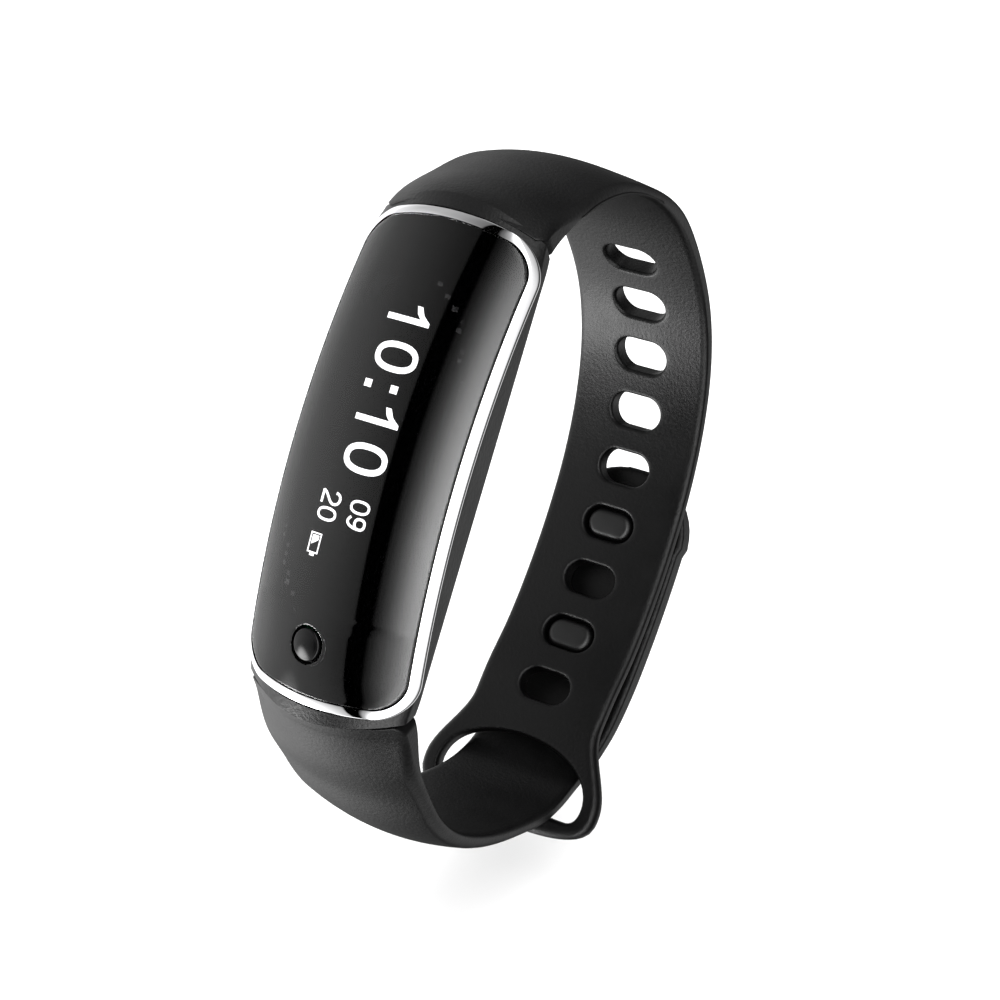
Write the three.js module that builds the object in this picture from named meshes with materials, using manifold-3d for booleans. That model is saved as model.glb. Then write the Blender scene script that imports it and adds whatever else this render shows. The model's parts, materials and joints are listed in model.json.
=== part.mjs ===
// Fitness tracker band: a curved display module on a two-piece silicone strap, closed as it is worn.
// Millimetres, +Z up. The origin is the middle of the wrist opening, and +X runs along the wrist.
// The band is laid out in its own frame (y along the module, z out of its face), then tilted as one.
import * as THREE from "three";
import { mergeVertices } from "three/addons/utils/BufferGeometryUtils.js";
import Module from "manifold-3d";

// ---- Driving dimensions -------------------------------------------------------------------------
const FACE_TILT_DEG = 58.5; // turn about X that leaves the display looking forward and up
const MODULE_AT = { y: 1.4, z: 30 }; // top of the module's crest, seen from the wrist's middle

const HALF_WIDTH = 9.55;
const ROOT_HALF_WIDTH = 8.7; // where the module's ends and the straps' roots meet
const FACE_ACROSS = 29; // the face drops by x^2 / FACE_ACROSS across the module
const FACE_ALONG = 152; // and by y^2 / FACE_ALONG along it
const BACK_Z = -6.7; // where the side walls end, towards the wrist

const RING = { halfWidth: 9.55, halfLength: 23.35, corner: 3.0, width: 0.87, drop: 0.05, depth: 0.8 };
const LENS = { halfWidth: 8.55, halfLength: 22.35, corner: 2.4, thickness: 0.85, flatZ: -2.75 };
const END_BOW = 1.7; // the ring's and lens's ends stand out by this much from corner to middle
const FACE_Y = -0.1; // middle of the ring and lens along the module
const SEAM = { y: 21.15, z: -7.85, edge: 2.1, crown: 2.75 }; // inner corner and section of a strap root
const GAP = 0.15; // between pieces that touch

const HOLE = { pitch: 6.3, count: 9, length: 6.1, width: 3.84 };
const PEG_HOLES = [6, 8];
const PEG = { length: 5.3, width: 3.05, recess: 0.2, round: 0.55 };
const STRAP_EDGE = 2.1; // thickness of the hole strap
const STRAP_HALF_WIDTH = 7.45;
const HOOP = { past: 15.3, widest: 11.2, halfWidth: 10.9, neck: 2.6 }; // measured from the last hole
const TAIL_LIFT_DEG = 60;
const KEY = { x: -1.0, y: -18.05, radius: 1.5, groove: 1.75, rise: 0.2, travel: 0.25 };

const DISPLAY = { x: -1.1, y: 1.4, halfWidth: 4.1, halfLength: 14.6, thickness: 1.2, topZ: -2.9 };
const BOARD = { topZ: -5.3, thickness: 0.6, halfWidth: 6.5, halfLength: 16.2, endHalfWidth: 3.4, end: 19.5 };
const POD = { halfWidth: 7, halfLength: 17, corner: 3.4, bottomZ: -9.8, wall: 0.8 };
const COVER = { halfWidth: 8.0, halfLength: 19.1, topZ: -6.2, thickness: 0.75 };
const CAVITY = {
  halfWidth: 8.15, halfLength: 19.25, ledgeHalfWidth: 7.6, ledgeHalfLength: 18.7, keyBay: 19.75, ledgeZ: -5.95,
};
const SCREW = { x: 5.6, y: 17.9, headRadius: 1.0, headHeight: 0.6, radius: 0.5, length: 2.2 };
const MOTOR = { y: -12.4, radius: 3.4, topZ: -6.2, height: 2.4 };
const SENSOR = { y: -4.4, halfWidth: 3.6, halfLength: 3.6 };
const CONTACT = { x: 2.6, y: -12.4, radius: 1.15 };
const BATTERY = { y: 7.9, halfWidth: 6.0, halfLength: 7.2, corner: 1.5, topZ: -6.2, height: 2.4 };
const ANCHOR = { halfWidth: 5.4, low: 0.55, high: 1.6, length: 1.9, pinRadius: 0.35 };

// Inner surfaces of the two straps, (y, z) from the wrist's middle, each starting at its seam.
const SEAM_START = { y: MODULE_AT.y + SEAM.y, z: MODULE_AT.z + SEAM.z };
const HOLE_STRAP_ROUTE = [
  [SEAM_START.y, SEAM_START.z], [24.5, 20.8], [28.7, 15.7], [31.1, 10.3], [31.9, 3.9], [30.8, -3.4],
  [27.6, -10.2], [23.7, -15.3], [18.7, -19.1], [13.0, -21.5], [6.8, -22.75], [0.5, -22.95], [-5.8, -22.4],
  [-12.0, -21.2], [-18.0, -19.2], [-25.4, -17.9], [-33.0, -16.9],
];
const PEG_STRAP_ROUTE = [
  [2 * MODULE_AT.y - SEAM_START.y, SEAM_START.z], [-21.05, 20.8], [-24.9, 17.9], [-27.7, 14.2], [-30.1, 10.0],
  [-31.5, 5.3], [-31.9, 0.1], [-31.5, -5.2], [-30.3, -10.9], [-28.9, -15.1], [-27.0, -18.2],
  [-24.0, -21.1], [-18.2, -23.4], [-12.2, -24.8], [-6.0, -25.7], [0.3, -26.1], [7.2, -26.0],
];
const HINGE_Y = -25.6; // where the free end of the peg strap bends outwards

// ---- Solid helpers ------------------------------------------------------------------------------
const wasm = await Module();
wasm.setup();

function solid(geometry) {
  const plain = geometry.clone();
  plain.deleteAttribute("normal");
  plain.deleteAttribute("uv");
  const merged = mergeVertices(plain, 1e-4);
  return new wasm.Manifold(
    new wasm.Mesh({
      numProp: 3,
      vertProperties: new Float32Array(merged.attributes.position.array),
      triVerts: new Uint32Array(merged.index.array),
    }),
  );
}

function geometryOf(body) {
  const mesh = body.simplify(0.003).getMesh();
  const geometry = new THREE.BufferGeometry();
  const points = new Float32Array(mesh.numVert * 3);
  for (let i = 0; i < mesh.numVert; i++) {
    points.set(mesh.vertProperties.subarray(i * mesh.numProp, i * mesh.numProp + 3), i * 3);
  }
  geometry.setAttribute("position", new THREE.BufferAttribute(points, 3));
  geometry.setIndex(new THREE.BufferAttribute(mesh.triVerts, 1));
  geometry.computeVertexNormals();
  return geometry;
}

const cut = (body, ...tools) => tools.reduce((left, tool) => left.subtract(solid(tool)), body);

function mapped(geometry, place) {
  const position = geometry.attributes.position;
  for (let i = 0; i < position.count; i++) {
    const p = place(position.getX(i), position.getY(i), position.getZ(i));
    position.setXYZ(i, p[0], p[1], p[2]);
  }
  return geometry;
}

// A box from its middle (x, y), half sizes and the two z levels.
function block(x, y, halfX, halfY, lowZ, highZ) {
  return new THREE.BoxGeometry(2 * halfX, 2 * halfY, highZ - lowZ).translate(x, y, (lowZ + highZ) / 2);
}

function drum(x, y, radius, lowZ, highZ, sides = 24) {
  return new THREE.CylinderGeometry(radius, radius, highZ - lowZ, sides)
    .rotateX(Math.PI / 2)
    .translate(x, y, (lowZ + highZ) / 2);
}

function roundedRect(halfX, halfY, radius) {
  const shape = new THREE.Shape();
  const x = halfX - radius;
  const y = halfY - radius;
  shape.absarc(x, y, radius, 0, Math.PI / 2);
  shape.absarc(-x, y, radius, Math.PI / 2, Math.PI);
  shape.absarc(-x, -y, radius, Math.PI, 1.5 * Math.PI);
  shape.absarc(x, -y, radius, 1.5 * Math.PI, 2 * Math.PI);
  shape.closePath();
  return shape;
}

function prism(shape, lowZ, highZ, curveSegments = 5) {
  return new THREE.ExtrudeGeometry(shape, { depth: highZ - lowZ, bevelEnabled: false, curveSegments })
    .translate(0, 0, lowZ);
}

// ---- Curved surfaces of the module --------------------------------------------------------------
const faceZ = (x, y) => -(x * x) / FACE_ACROSS - (y * y) / FACE_ALONG;

// Half length of a rounded-rectangle outline at a distance x from its middle.
function halfLengthAt(x, outline) {
  const over = Math.max(0, Math.abs(x) - (outline.halfWidth - outline.corner));
  return outline.halfLength - outline.corner + Math.sqrt(Math.max(0, outline.corner ** 2 - over ** 2));
}

// Where a point of the face's outline lies along the module once the outline's ends are bowed.
const bowed = (x, y) => FACE_Y + y * (1 - (END_BOW / RING.halfLength) * (x / HALF_WIDTH) ** 2);

// A plate with a rounded-rectangle outline between two curved surfaces.
function curvedPlate(outline, top, bottom, columns = 14, rows = 12, alongAt = bowed) {
  return mapped(new THREE.BoxGeometry(2, 2, 2, columns, rows, 1), (u, v, w) => {
    const x = outline.halfWidth * Math.sin((u * Math.PI) / 2);
    const y = alongAt(x, v * halfLengthAt(x, outline));
    return [x, y, w > 0 ? top(x, y) : bottom(x, y)];
  });
}

// A closed ring whose section follows a rounded-rectangle outline; the section is a list of
// [inset, height above the face].
function curvedRing(outline, section, top, cornerSteps = 5, sideSteps = 9) {
  const loop = [];
  const cornerX = outline.halfWidth - outline.corner;
  const cornerY = outline.halfLength - outline.corner;
  const corners = [[1, 1, 0], [-1, 1, 0.5], [-1, -1, 1], [1, -1, 1.5]];
  corners.forEach(([signX, signY, turn], index) => {
    for (let i = 0; i <= cornerSteps; i++) {
      const angle = Math.PI * (turn + (0.5 * i) / cornerSteps);
      loop.push({ x: signX * cornerX, y: signY * cornerY, nx: Math.cos(angle), ny: Math.sin(angle) });
    }
    const next = corners[(index + 1) % 4];
    const steps = index % 2 === 0 ? 4 : sideSteps;
    const last = loop[loop.length - 1];
    for (let i = 1; i < steps; i++) {
      const share = i / steps;
      loop.push({
        x: THREE.MathUtils.lerp(signX, next[0], share) * cornerX,
        y: THREE.MathUtils.lerp(signY, next[1], share) * cornerY,
        nx: last.nx,
        ny: last.ny,
      });
    }
  });
  const geometry = new THREE.TorusGeometry(1, 0.3, section.length, loop.length);
  const position = geometry.attributes.position;
  const around = loop.length + 1;
  for (let k = 0; k < position.count; k++) {
    const at = loop[(k % around) % loop.length];
    const [inset, rise] = section[Math.floor(k / around) % section.length];
    const x = at.x + at.nx * (outline.corner - inset);
    const y = bowed(x, at.y + at.ny * (outline.corner - inset));
    position.setXYZ(k, x, y, top(x, y) + rise);
  }
  return geometry;
}

// ---- Strap routes -------------------------------------------------------------------------------
// A route follows a strap's inner surface; place(s, x, h) is the point at distance s along it,
// x across it and h out from it, away from the wrist.
function makeRoute(points, outwardSide) {
  const knots = points.map(([y, z]) => new THREE.Vector3(0, y, z));
  const curve = new THREE.CatmullRomCurve3(knots, false, "centripetal");
  const length = curve.getLength();
  const frame = (s) => {
    const share = THREE.MathUtils.clamp(s / length, 0, 1);
    const point = curve.getPointAt(share);
    const along = curve.getTangentAt(share);
    const out = { y: -outwardSide * along.z, z: outwardSide * along.y };
    return { y: point.y, z: point.z, along, out };
  };
  const place = (s, x, h) => {
    const f = frame(s);
    return [x, f.y + f.out.y * h, f.z + f.out.z * h];
  };
  // Turns plan shapes (x across, y along, z out) into place at distance s.
  const basis = (s, h = 0) => {
    const f = frame(s);
    const matrix = new THREE.Matrix4().makeBasis(
      new THREE.Vector3(outwardSide, 0, 0),
      new THREE.Vector3(0, f.along.y, f.along.z),
      new THREE.Vector3(0, f.out.y, f.out.z),
    );
    return matrix.setPosition(0, f.y + f.out.y * h, f.z + f.out.z * h);
  };
  const nearest = (y, z) => {
    let best = 0;
    let bestDistance = Infinity;
    for (let s = 0; s <= length; s += 0.1) {
      const f = frame(s);
      const distance = Math.hypot(f.y - y, f.z - z);
      if (distance < bestDistance) [best, bestDistance] = [s, distance];
    }
    return best;
  };
  return { length, frame, place, basis, nearest, outwardSide };
}

// Unit strap section: x from -1 to 1, and the share of the thickness, with softened corners.
const STRAP_SECTION = [
  [-0.96, 0], [0.96, 0], [1, 0.2], [1, 0.7], [0.94, 1], [0.6, 1], [0.2, 1],
  [-0.2, 1], [-0.6, 1], [-0.94, 1], [-1, 0.7], [-1, 0.2],
];

// Sweeps the unit section along a route through the given distances; size(s) gives its half width,
// its edge thickness, its crown and its lift off the route.
function sweep(route, distances, size, section = STRAP_SECTION) {
  const shape = new THREE.Shape(section.map(([x, share]) => new THREE.Vector2(x, share)));
  const steps = distances.length - 1;
  const geometry = new THREE.ExtrudeGeometry(shape, { steps, depth: 1, bevelEnabled: false });
  return mapped(geometry, (x, share, along) => {
    const s = distances[Math.round(along * steps)];
    const { halfWidth, edge, crown, lift = 0 } = size(s);
    return route.place(s, -route.outwardSide * x * halfWidth, lift + share * (edge + crown * (1 - x * x)));
  });
}

const spaced = (from, to, steps) =>
  Array.from({ length: steps + 1 }, (_, i) => from + ((to - from) * i) / steps);

// Smooth change of a value through [distance, value] pairs.
function along(s, pairs) {
  for (let i = 1; i < pairs.length; i++) {
    if (s <= pairs[i][0]) {
      const share = THREE.MathUtils.smoothstep(s, pairs[i - 1][0], pairs[i][0]);
      return THREE.MathUtils.lerp(pairs[i - 1][1], pairs[i][1], share);
    }
  }
  return pairs[pairs.length - 1][1];
}

const holeRoute = makeRoute(HOLE_STRAP_ROUTE, 1);
const pegRoute = makeRoute(PEG_STRAP_ROUTE, -1);
const lastHoleAt = holeRoute.length - HOOP.past;
const holeAt = (number) => lastHoleAt - (HOLE.count - number) * HOLE.pitch;

// ---- Materials ----------------------------------------------------------------------------------
const material = (color, roughness, metalness = 0) =>
  new THREE.MeshStandardMaterial({ color, roughness, metalness });
const MATERIALS = {
  silicone: material(0x151516, 0.62),
  housing: material(0x1c1c1e, 0.5),
  lens: material(0x050506, 0.05),
  chrome: material(0xe9eaec, 0.08, 1),
  key: material(0x101012, 0.08),
  peg: material(0x19191b, 0.15),
  glass: material(0x0c0c10, 0.1),
  board: material(0x0f3b24, 0.5),
  chip: material(0x1a1a1c, 0.45),
  shield: material(0xb9bcc0, 0.3, 1),
  battery: material(0xa9adb3, 0.4, 0.6),
  foam: material(0x2a2a2c, 0.95),
  flex: material(0xb0722a, 0.4),
  steel: material(0xa5a8ad, 0.25, 1),
  gold: material(0xcfa548, 0.25, 1),
  gasket: material(0x2f3034, 0.8),
  diffuser: material(0xd9f2dc, 0.3),
};

const band = new THREE.Group();
const moduleGroup = new THREE.Group();
moduleGroup.position.set(0, MODULE_AT.y, MODULE_AT.z);
band.add(moduleGroup);

function add(group, name, body, finish) {
  const mesh = new THREE.Mesh(body.isBufferGeometry ? body : geometryOf(body), finish);
  mesh.name = name;
  group.add(mesh);
}
const inModule = (name, body, finish) => add(moduleGroup, name, body, finish);
const inBand = (name, body, finish) => add(band, name, body, finish);

// ---- Strap anchors: a tongue on each strap root, held in the housing by a cross pin ---------------
// Places a piece drawn in a seam's own frame (x across, y along the strap, z out) at the seam.
function seamMatrix(side, route) {
  const matrix = route.basis(0);
  return side === "module"
    ? new THREE.Matrix4().makeTranslation(0, -MODULE_AT.y, -MODULE_AT.z).multiply(matrix)
    : matrix;
}
const anchorTongue = (margin) =>
  block(
    0, -ANCHOR.length / 2, ANCHOR.halfWidth + margin, ANCHOR.length / 2 + margin + 0.3,
    ANCHOR.low - margin, ANCHOR.high + margin,
  );
const anchorPin = (margin, halfLength) =>
  new THREE.CylinderGeometry(ANCHOR.pinRadius + margin, ANCHOR.pinRadius + margin, 2 * halfLength, 12)
    .rotateZ(Math.PI / 2)
    .translate(0, -ANCHOR.length / 2, (ANCHOR.low + ANCHOR.high) / 2);
const PIN_HALF_LENGTH = 6.8;

// ---- Module shells ------------------------------------------------------------------------------
function midHousing() {
  const backZ = (y) => BACK_Z - 1.15 * THREE.MathUtils.smoothstep(Math.abs(y), 15, 22);
  const bodyOutline = { halfWidth: HALF_WIDTH - 0.03, halfLength: 27, corner: 0.5 };
  const narrowing = 1 - ROOT_HALF_WIDTH / HALF_WIDTH;
  const taper = (y) => narrowing * THREE.MathUtils.smoothstep(Math.abs(y), 17.5, 23.5);
  const shell = curvedPlate(bodyOutline, faceZ, (x, y) => backZ(y), 14, 26, (x, y) => y);
  let body = solid(mapped(shell, (x, y, z) => [x * (1 - taper(y)), y, z]));
  const recess = {
    halfWidth: RING.halfWidth + 0.12,
    halfLength: RING.halfLength + 0.12,
    corner: RING.corner,
  };
  const floorZ = (x, y) => faceZ(x, y) - LENS.thickness - 3 * GAP;
  body = cut(
    body,
    curvedPlate(recess, () => 4, floorZ),
    prism(roundedRect(CAVITY.halfWidth, CAVITY.halfLength, 2.2), -12, CAVITY.ledgeZ),
    prism(roundedRect(CAVITY.ledgeHalfWidth, CAVITY.ledgeHalfLength, 1.8), -12, 2),
    block(0, -CAVITY.keyBay / 2, BOARD.endHalfWidth + 0.2, CAVITY.keyBay / 2, -12, 2),
  );
  for (const x of [-SCREW.x, SCREW.x]) {
    for (const y of [-SCREW.y, SCREW.y]) {
      const lug = block(x * 1.14, y * 1.02, 1.5, 1.25, CAVITY.ledgeZ + 0.06, -5.62);
      body = body.add(solid(lug));
      body = cut(body, drum(x, y, SCREW.radius + 0.15, -7, -4, 12));
    }
  }
  for (const route of [holeRoute, pegRoute]) {
    const seam = seamMatrix("module", route);
    body = cut(
      body,
      block(0, 20 - GAP, 20, 20, -12, 20).applyMatrix4(seam),
      anchorTongue(GAP).applyMatrix4(seam),
      anchorPin(0.12, PIN_HALF_LENGTH + GAP).applyMatrix4(seam),
    );
  }
  return body;
}

const ringSection = [
  [0, -RING.drop], [RING.width, 0.05], [RING.width, -RING.depth], [0.12, -RING.depth - RING.drop], [0, -0.5],
];

function lens() {
  const bottom = (x, y) => Math.min(LENS.flatZ, faceZ(x, y) - LENS.thickness);
  const plate = solid(curvedPlate(LENS, faceZ, bottom));
  return cut(
    plate,
    block(DISPLAY.x, DISPLAY.y, DISPLAY.halfWidth + 0.2, DISPLAY.halfLength + 0.2, -8, LENS.flatZ),
    drum(KEY.x, KEY.y, KEY.groove, -8, 2, 28),
  );
}

function backCover() {
  const plate = roundedRect(COVER.halfWidth, COVER.halfLength, 2.0);
  let body = solid(prism(plate, COVER.topZ - COVER.thickness, COVER.topZ));
  const podFloor = POD.bottomZ + POD.wall;
  const podOutline = roundedRect(POD.halfWidth, POD.halfLength - 0.3, POD.corner);
  const noseOutline = roundedRect(POD.halfWidth - 0.5, POD.halfLength - 0.8, POD.corner - 0.5);
  const outer = solid(prism(podOutline, POD.bottomZ + 0.6, COVER.topZ - 0.1));
  const nose = solid(prism(noseOutline, POD.bottomZ, POD.bottomZ + 0.7));
  body = body.add(outer).add(nose);
  body = cut(
    body,
    prism(roundedRect(POD.halfWidth - POD.wall, POD.halfLength - 1.1, POD.corner - POD.wall), podFloor, 0),
    prism(roundedRect(SENSOR.halfWidth, SENSOR.halfLength, 1.6), -12, 0).translate(0, SENSOR.y, 0),
  );
  for (const x of [-CONTACT.x, CONTACT.x]) {
    body = cut(body, drum(x, CONTACT.y, CONTACT.radius + 0.1, -12, -8));
  }
  for (const x of [-SCREW.x, SCREW.x]) {
    for (const y of [-SCREW.y, SCREW.y]) {
      body = cut(body, drum(x, y, SCREW.radius + 0.15, -9, -5));
    }
  }
  return body;
}

// ---- Internals ----------------------------------------------------------------------------------
function mainBoard() {
  const low = BOARD.topZ - BOARD.thickness;
  const body = solid(block(0, 0, BOARD.halfWidth, BOARD.halfLength, low, BOARD.topZ));
  return body.add(solid(block(0, -BOARD.end / 2, BOARD.endHalfWidth, BOARD.end / 2, low, BOARD.topZ)));
}

function displayBracket() {
  const low = BOARD.topZ + GAP;
  const high = DISPLAY.topZ - 1.05;
  const body = solid(block(DISPLAY.x, DISPLAY.y, DISPLAY.halfWidth + 0.9, DISPLAY.halfLength + 0.8, low, high));
  const seat = DISPLAY.topZ - DISPLAY.thickness - 0.1;
  return cut(
    body,
    block(DISPLAY.x, DISPLAY.y, DISPLAY.halfWidth + 0.12, DISPLAY.halfLength + 0.12, seat, 0),
    block(DISPLAY.x, DISPLAY.y, DISPLAY.halfWidth - 1.2, DISPLAY.halfLength - 3, -8, 0),
    block(DISPLAY.x, DISPLAY.y + DISPLAY.halfLength, 2.6, 2.4, -8, 0),
  );
}

function displayFlex() {
  const low = DISPLAY.topZ - DISPLAY.thickness - 0.3;
  const end = DISPLAY.y + DISPLAY.halfLength;
  const bend = end + 1.3;
  const shape = new THREE.Shape();
  const outer = [
    [end - 1.6, low + 0.18], [bend, low + 0.18], [bend, BOARD.topZ + 0.08], [end - 1.2, BOARD.topZ + 0.08],
  ];
  const inner = [
    [end - 1.2, BOARD.topZ + 0.2], [bend - 0.14, BOARD.topZ + 0.2], [bend - 0.14, low], [end - 1.6, low],
  ];
  [...outer, ...inner].forEach(([y, z], i) => (i ? shape.lineTo(y, z) : shape.moveTo(y, z)));
  shape.closePath();
  return new THREE.ExtrudeGeometry(shape, { depth: 4, bevelEnabled: false })
    .applyMatrix4(new THREE.Matrix4().makeBasis(
      new THREE.Vector3(0, 1, 0), new THREE.Vector3(0, 0, 1), new THREE.Vector3(1, 0, 0)))
    .translate(DISPLAY.x - 2, 0, 0);
}

function shieldCan() {
  const high = BOARD.topZ - BOARD.thickness - 0.1;
  const body = solid(block(0, SENSOR.y, 4.2, 3.6, high - 1.3, high));
  return cut(body, block(0, SENSOR.y, 3.95, 3.35, high - 1.1, 0));
}

function motorCase() {
  const low = MOTOR.topZ - MOTOR.height;
  const cup = solid(drum(0, MOTOR.y, MOTOR.radius, low + 0.35, MOTOR.topZ));
  return cut(cup, drum(0, MOTOR.y, MOTOR.radius - 0.25, low, MOTOR.topZ - 0.25));
}

function motorBase() {
  const low = MOTOR.topZ - MOTOR.height;
  const plate = solid(drum(0, MOTOR.y, MOTOR.radius, low, low + 0.25));
  return plate.add(solid(drum(0, MOTOR.y, 0.4, low + 0.1, MOTOR.topZ - 0.45, 12)));
}

// Half-disc weight on a hub that turns on the base's axle.
function motorRotor() {
  const low = MOTOR.topZ - MOTOR.height + 0.6;
  const high = MOTOR.topZ - 0.55;
  const disc = solid(drum(0, MOTOR.y, MOTOR.radius - 0.6, low, high));
  const half = cut(disc, block(0, MOTOR.y - 3, 5, 3, -12, 0));
  return cut(half.add(solid(drum(0, MOTOR.y, 1.0, low, high, 16))), drum(0, MOTOR.y, 0.55, -12, 0, 12));
}

function contactPad(x) {
  const floor = POD.bottomZ + POD.wall;
  return solid(drum(x, CONTACT.y, CONTACT.radius, POD.bottomZ + 0.1, floor + 0.1));
}

function backScrew(x, y) {
  const seat = COVER.topZ - COVER.thickness - 0.05;
  const shank = solid(drum(x, y, SCREW.radius, seat - 0.1, seat + SCREW.length - 0.6, 12));
  const head = solid(drum(x, y, SCREW.headRadius, seat - SCREW.headHeight, seat, 16));
  const recess = [seat - SCREW.headHeight - 0.1, seat - SCREW.headHeight + 0.25];
  return cut(shank.add(head), block(x, y, 0.6, 0.12, ...recess), block(x, y, 0.12, 0.6, ...recess));
}

// ---- Key ----------------------------------------------------------------------------------------
const keyTop = faceZ(KEY.x, KEY.y) + KEY.rise;
const keyFlangeZ = faceZ(2.8, KEY.y - 1.45) - LENS.thickness - GAP;
const plungerTop = keyFlangeZ - 0.4 - GAP;
const switchTop = plungerTop - 0.35;

function keyCap() {
  const profile = [
    [0, keyFlangeZ - 0.2], [KEY.radius, keyFlangeZ - 0.2], [KEY.radius, keyTop - 0.3],
    [KEY.radius * 0.8, keyTop - 0.1], [KEY.radius * 0.45, keyTop - 0.02], [0, keyTop],
  ];
  const cap = new THREE.LatheGeometry(profile.map(([r, h]) => new THREE.Vector2(r, h)), 24)
    .rotateX(Math.PI / 2)
    .translate(KEY.x, KEY.y, 0);
  return solid(cap).add(solid(block(KEY.x, KEY.y, 2.4, 1.45, keyFlangeZ - 0.4, keyFlangeZ)));
}

function keySwitch() {
  const body = solid(block(KEY.x, KEY.y, 1.5, 1.25, BOARD.topZ + 0.08, switchTop));
  return cut(body, drum(KEY.x, KEY.y, 0.75, switchTop - KEY.travel - 0.05, 0, 16));
}

// ---- Straps -------------------------------------------------------------------------------------
function stadium(length, width) {
  const shape = new THREE.Shape();
  const half = (length - width) / 2;
  shape.absarc(half, 0, width / 2, -Math.PI / 2, Math.PI / 2);
  shape.absarc(-half, 0, width / 2, Math.PI / 2, 1.5 * Math.PI);
  shape.closePath();
  return shape;
}

// Half width of the hoop: it flares from the strap, then closes in a blunt round end.
function hoopHalfWidth(past) {
  if (past < HOOP.widest) {
    return along(past, [[HOOP.neck, STRAP_HALF_WIDTH], [HOOP.widest, HOOP.halfWidth]]);
  }
  const share = (past - HOOP.widest) / (HOOP.past - HOOP.widest);
  return HOOP.halfWidth * Math.max(0.4, Math.cbrt(1 - share ** 3));
}

// Plan outline of the slot in the hoop that the peg strap passes through.
function hoopOpening() {
  const shape = new THREE.Shape();
  shape.moveTo(-8.9, 11.0);
  shape.bezierCurveTo(-8.7, 7.6, -4.4, 5.8, 0, 5.8);
  shape.bezierCurveTo(4.4, 5.8, 8.7, 7.6, 8.9, 11.0);
  shape.bezierCurveTo(8.9, 12.4, 8.4, 13.0, 7.2, 13.0);
  shape.lineTo(-7.2, 13.0);
  shape.bezierCurveTo(-8.4, 13.0, -8.9, 12.4, -8.9, 11.0);
  return shape;
}

function holeStrap() {
  const size = (s) => ({
    halfWidth: s > lastHoleAt ? hoopHalfWidth(s - lastHoleAt)
      : along(s, [[0, ROOT_HALF_WIDTH], [2, ROOT_HALF_WIDTH], [holeAt(2), STRAP_HALF_WIDTH]]),
    edge: along(s, [
      [0, SEAM.edge], [8, 1.3], [18, 1.3], [30, STRAP_EDGE], [lastHoleAt, STRAP_EDGE], [lastHoleAt + 5, 1.85],
    ]),
    crown: along(s, [[0, SEAM.crown], [10, 1.6], [22, 0.9], [holeAt(1) + 2, 0]]),
  });
  const stations = [
    ...spaced(GAP, lastHoleAt, 30),
    ...spaced(lastHoleAt + 1.6, lastHoleAt + HOOP.widest, 6),
    ...[0.35, 0.6, 0.8, 0.92, 1].map((share) => lastHoleAt + HOOP.widest + share * (HOOP.past - HOOP.widest)),
  ];
  let body = solid(sweep(holeRoute, stations, size));
  const punch = prism(stadium(HOLE.length, HOLE.width), -3, 6, 7);
  for (let number = 1; number <= HOLE.count; number++) {
    body = cut(body, punch.clone().applyMatrix4(holeRoute.basis(holeAt(number))));
  }
  const slot = prism(hoopOpening(), -3, 6, 6).translate(0, -9.5, 0);
  return anchored(cut(body, slot.applyMatrix4(holeRoute.basis(lastHoleAt + 9.5))), holeRoute);
}

function anchored(strap, route) {
  const seam = route.basis(0);
  return cut(strap.add(solid(anchorTongue(0).applyMatrix4(seam))), anchorPin(0.12, 12).applyMatrix4(seam));
}

const hingeAt = pegRoute.nearest(HINGE_Y, -18.8);

const pegStrapSize = (s) => ({
  halfWidth: along(s, [
    [0, ROOT_HALF_WIDTH], [2, ROOT_HALF_WIDTH], [38, 7.5], [hingeAt, 6.9], [hingeAt + 8, 7.45],
  ]),
  edge: along(s, [[0, SEAM.edge], [12, 1.3], [34, 1.4], [hingeAt, 1.8], [hingeAt + 14, 2.5]]),
  crown: along(s, [[0, SEAM.crown], [12, 1.4], [36, 1.1], [hingeAt - 2, 0.3], [hingeAt + 14, 0.15]]),
});

// Half of the wedge that lets the free end swing: a big block leaning away from the hinge line.
function hingeWedge(direction) {
  const half = THREE.MathUtils.degToRad(TAIL_LIFT_DEG / 2 + 1);
  return block(0, direction * -20, 20, 20, -20, 20)
    .rotateX(direction * -half)
    .translate(0, direction * GAP, 0)
    .applyMatrix4(pegRoute.basis(hingeAt));
}

function lowerStrap() {
  const body = solid(sweep(pegRoute, spaced(GAP, hingeAt + 2, 26), pegStrapSize));
  return anchored(cut(body, hingeWedge(-1)), pegRoute);
}

const pegStations = PEG_HOLES.map((number) => {
  const hole = holeRoute.frame(holeAt(number));
  return { number, s: pegRoute.nearest(hole.y + 3 * hole.out.y, hole.z + 3 * hole.out.z) };
});
const plateFrom = Math.min(...pegStations.map((peg) => peg.s)) - 2.6;
const plateTo = Math.max(...pegStations.map((peg) => peg.s)) + 2.6;
const FLAT_SECTION = [[-1, 0], [1, 0], [1, 1], [-1, 1]];

const pegPlate = (margin) =>
  sweep(pegRoute, spaced(plateFrom - margin, plateTo + margin, 8), () => (
    {
      halfWidth: 4.2 + margin, edge: 0.8 + margin + (margin ? 1 : 0), crown: 0, lift: margin ? -1 : 0,
    }), FLAT_SECTION);

function strapTail() {
  const end = pegRoute.length;
  const size = (s) => {
    const { halfWidth, edge, crown } = pegStrapSize(s);
    const over = THREE.MathUtils.clamp((s - end) / halfWidth + 1, 0, 1);
    return { halfWidth: halfWidth * Math.max(0.3, Math.sqrt(1 - over ** 2.4)), edge, crown };
  };
  const round = [0.3, 0.5, 0.7, 0.82, 0.92, 1].map((share) => end - 7.5 + share * 7.5);
  const body = solid(sweep(pegRoute, [...spaced(hingeAt - 2, end - 7.5, 14), ...round], size));
  return cut(body, hingeWedge(1), pegPlate(0.12));
}

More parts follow.
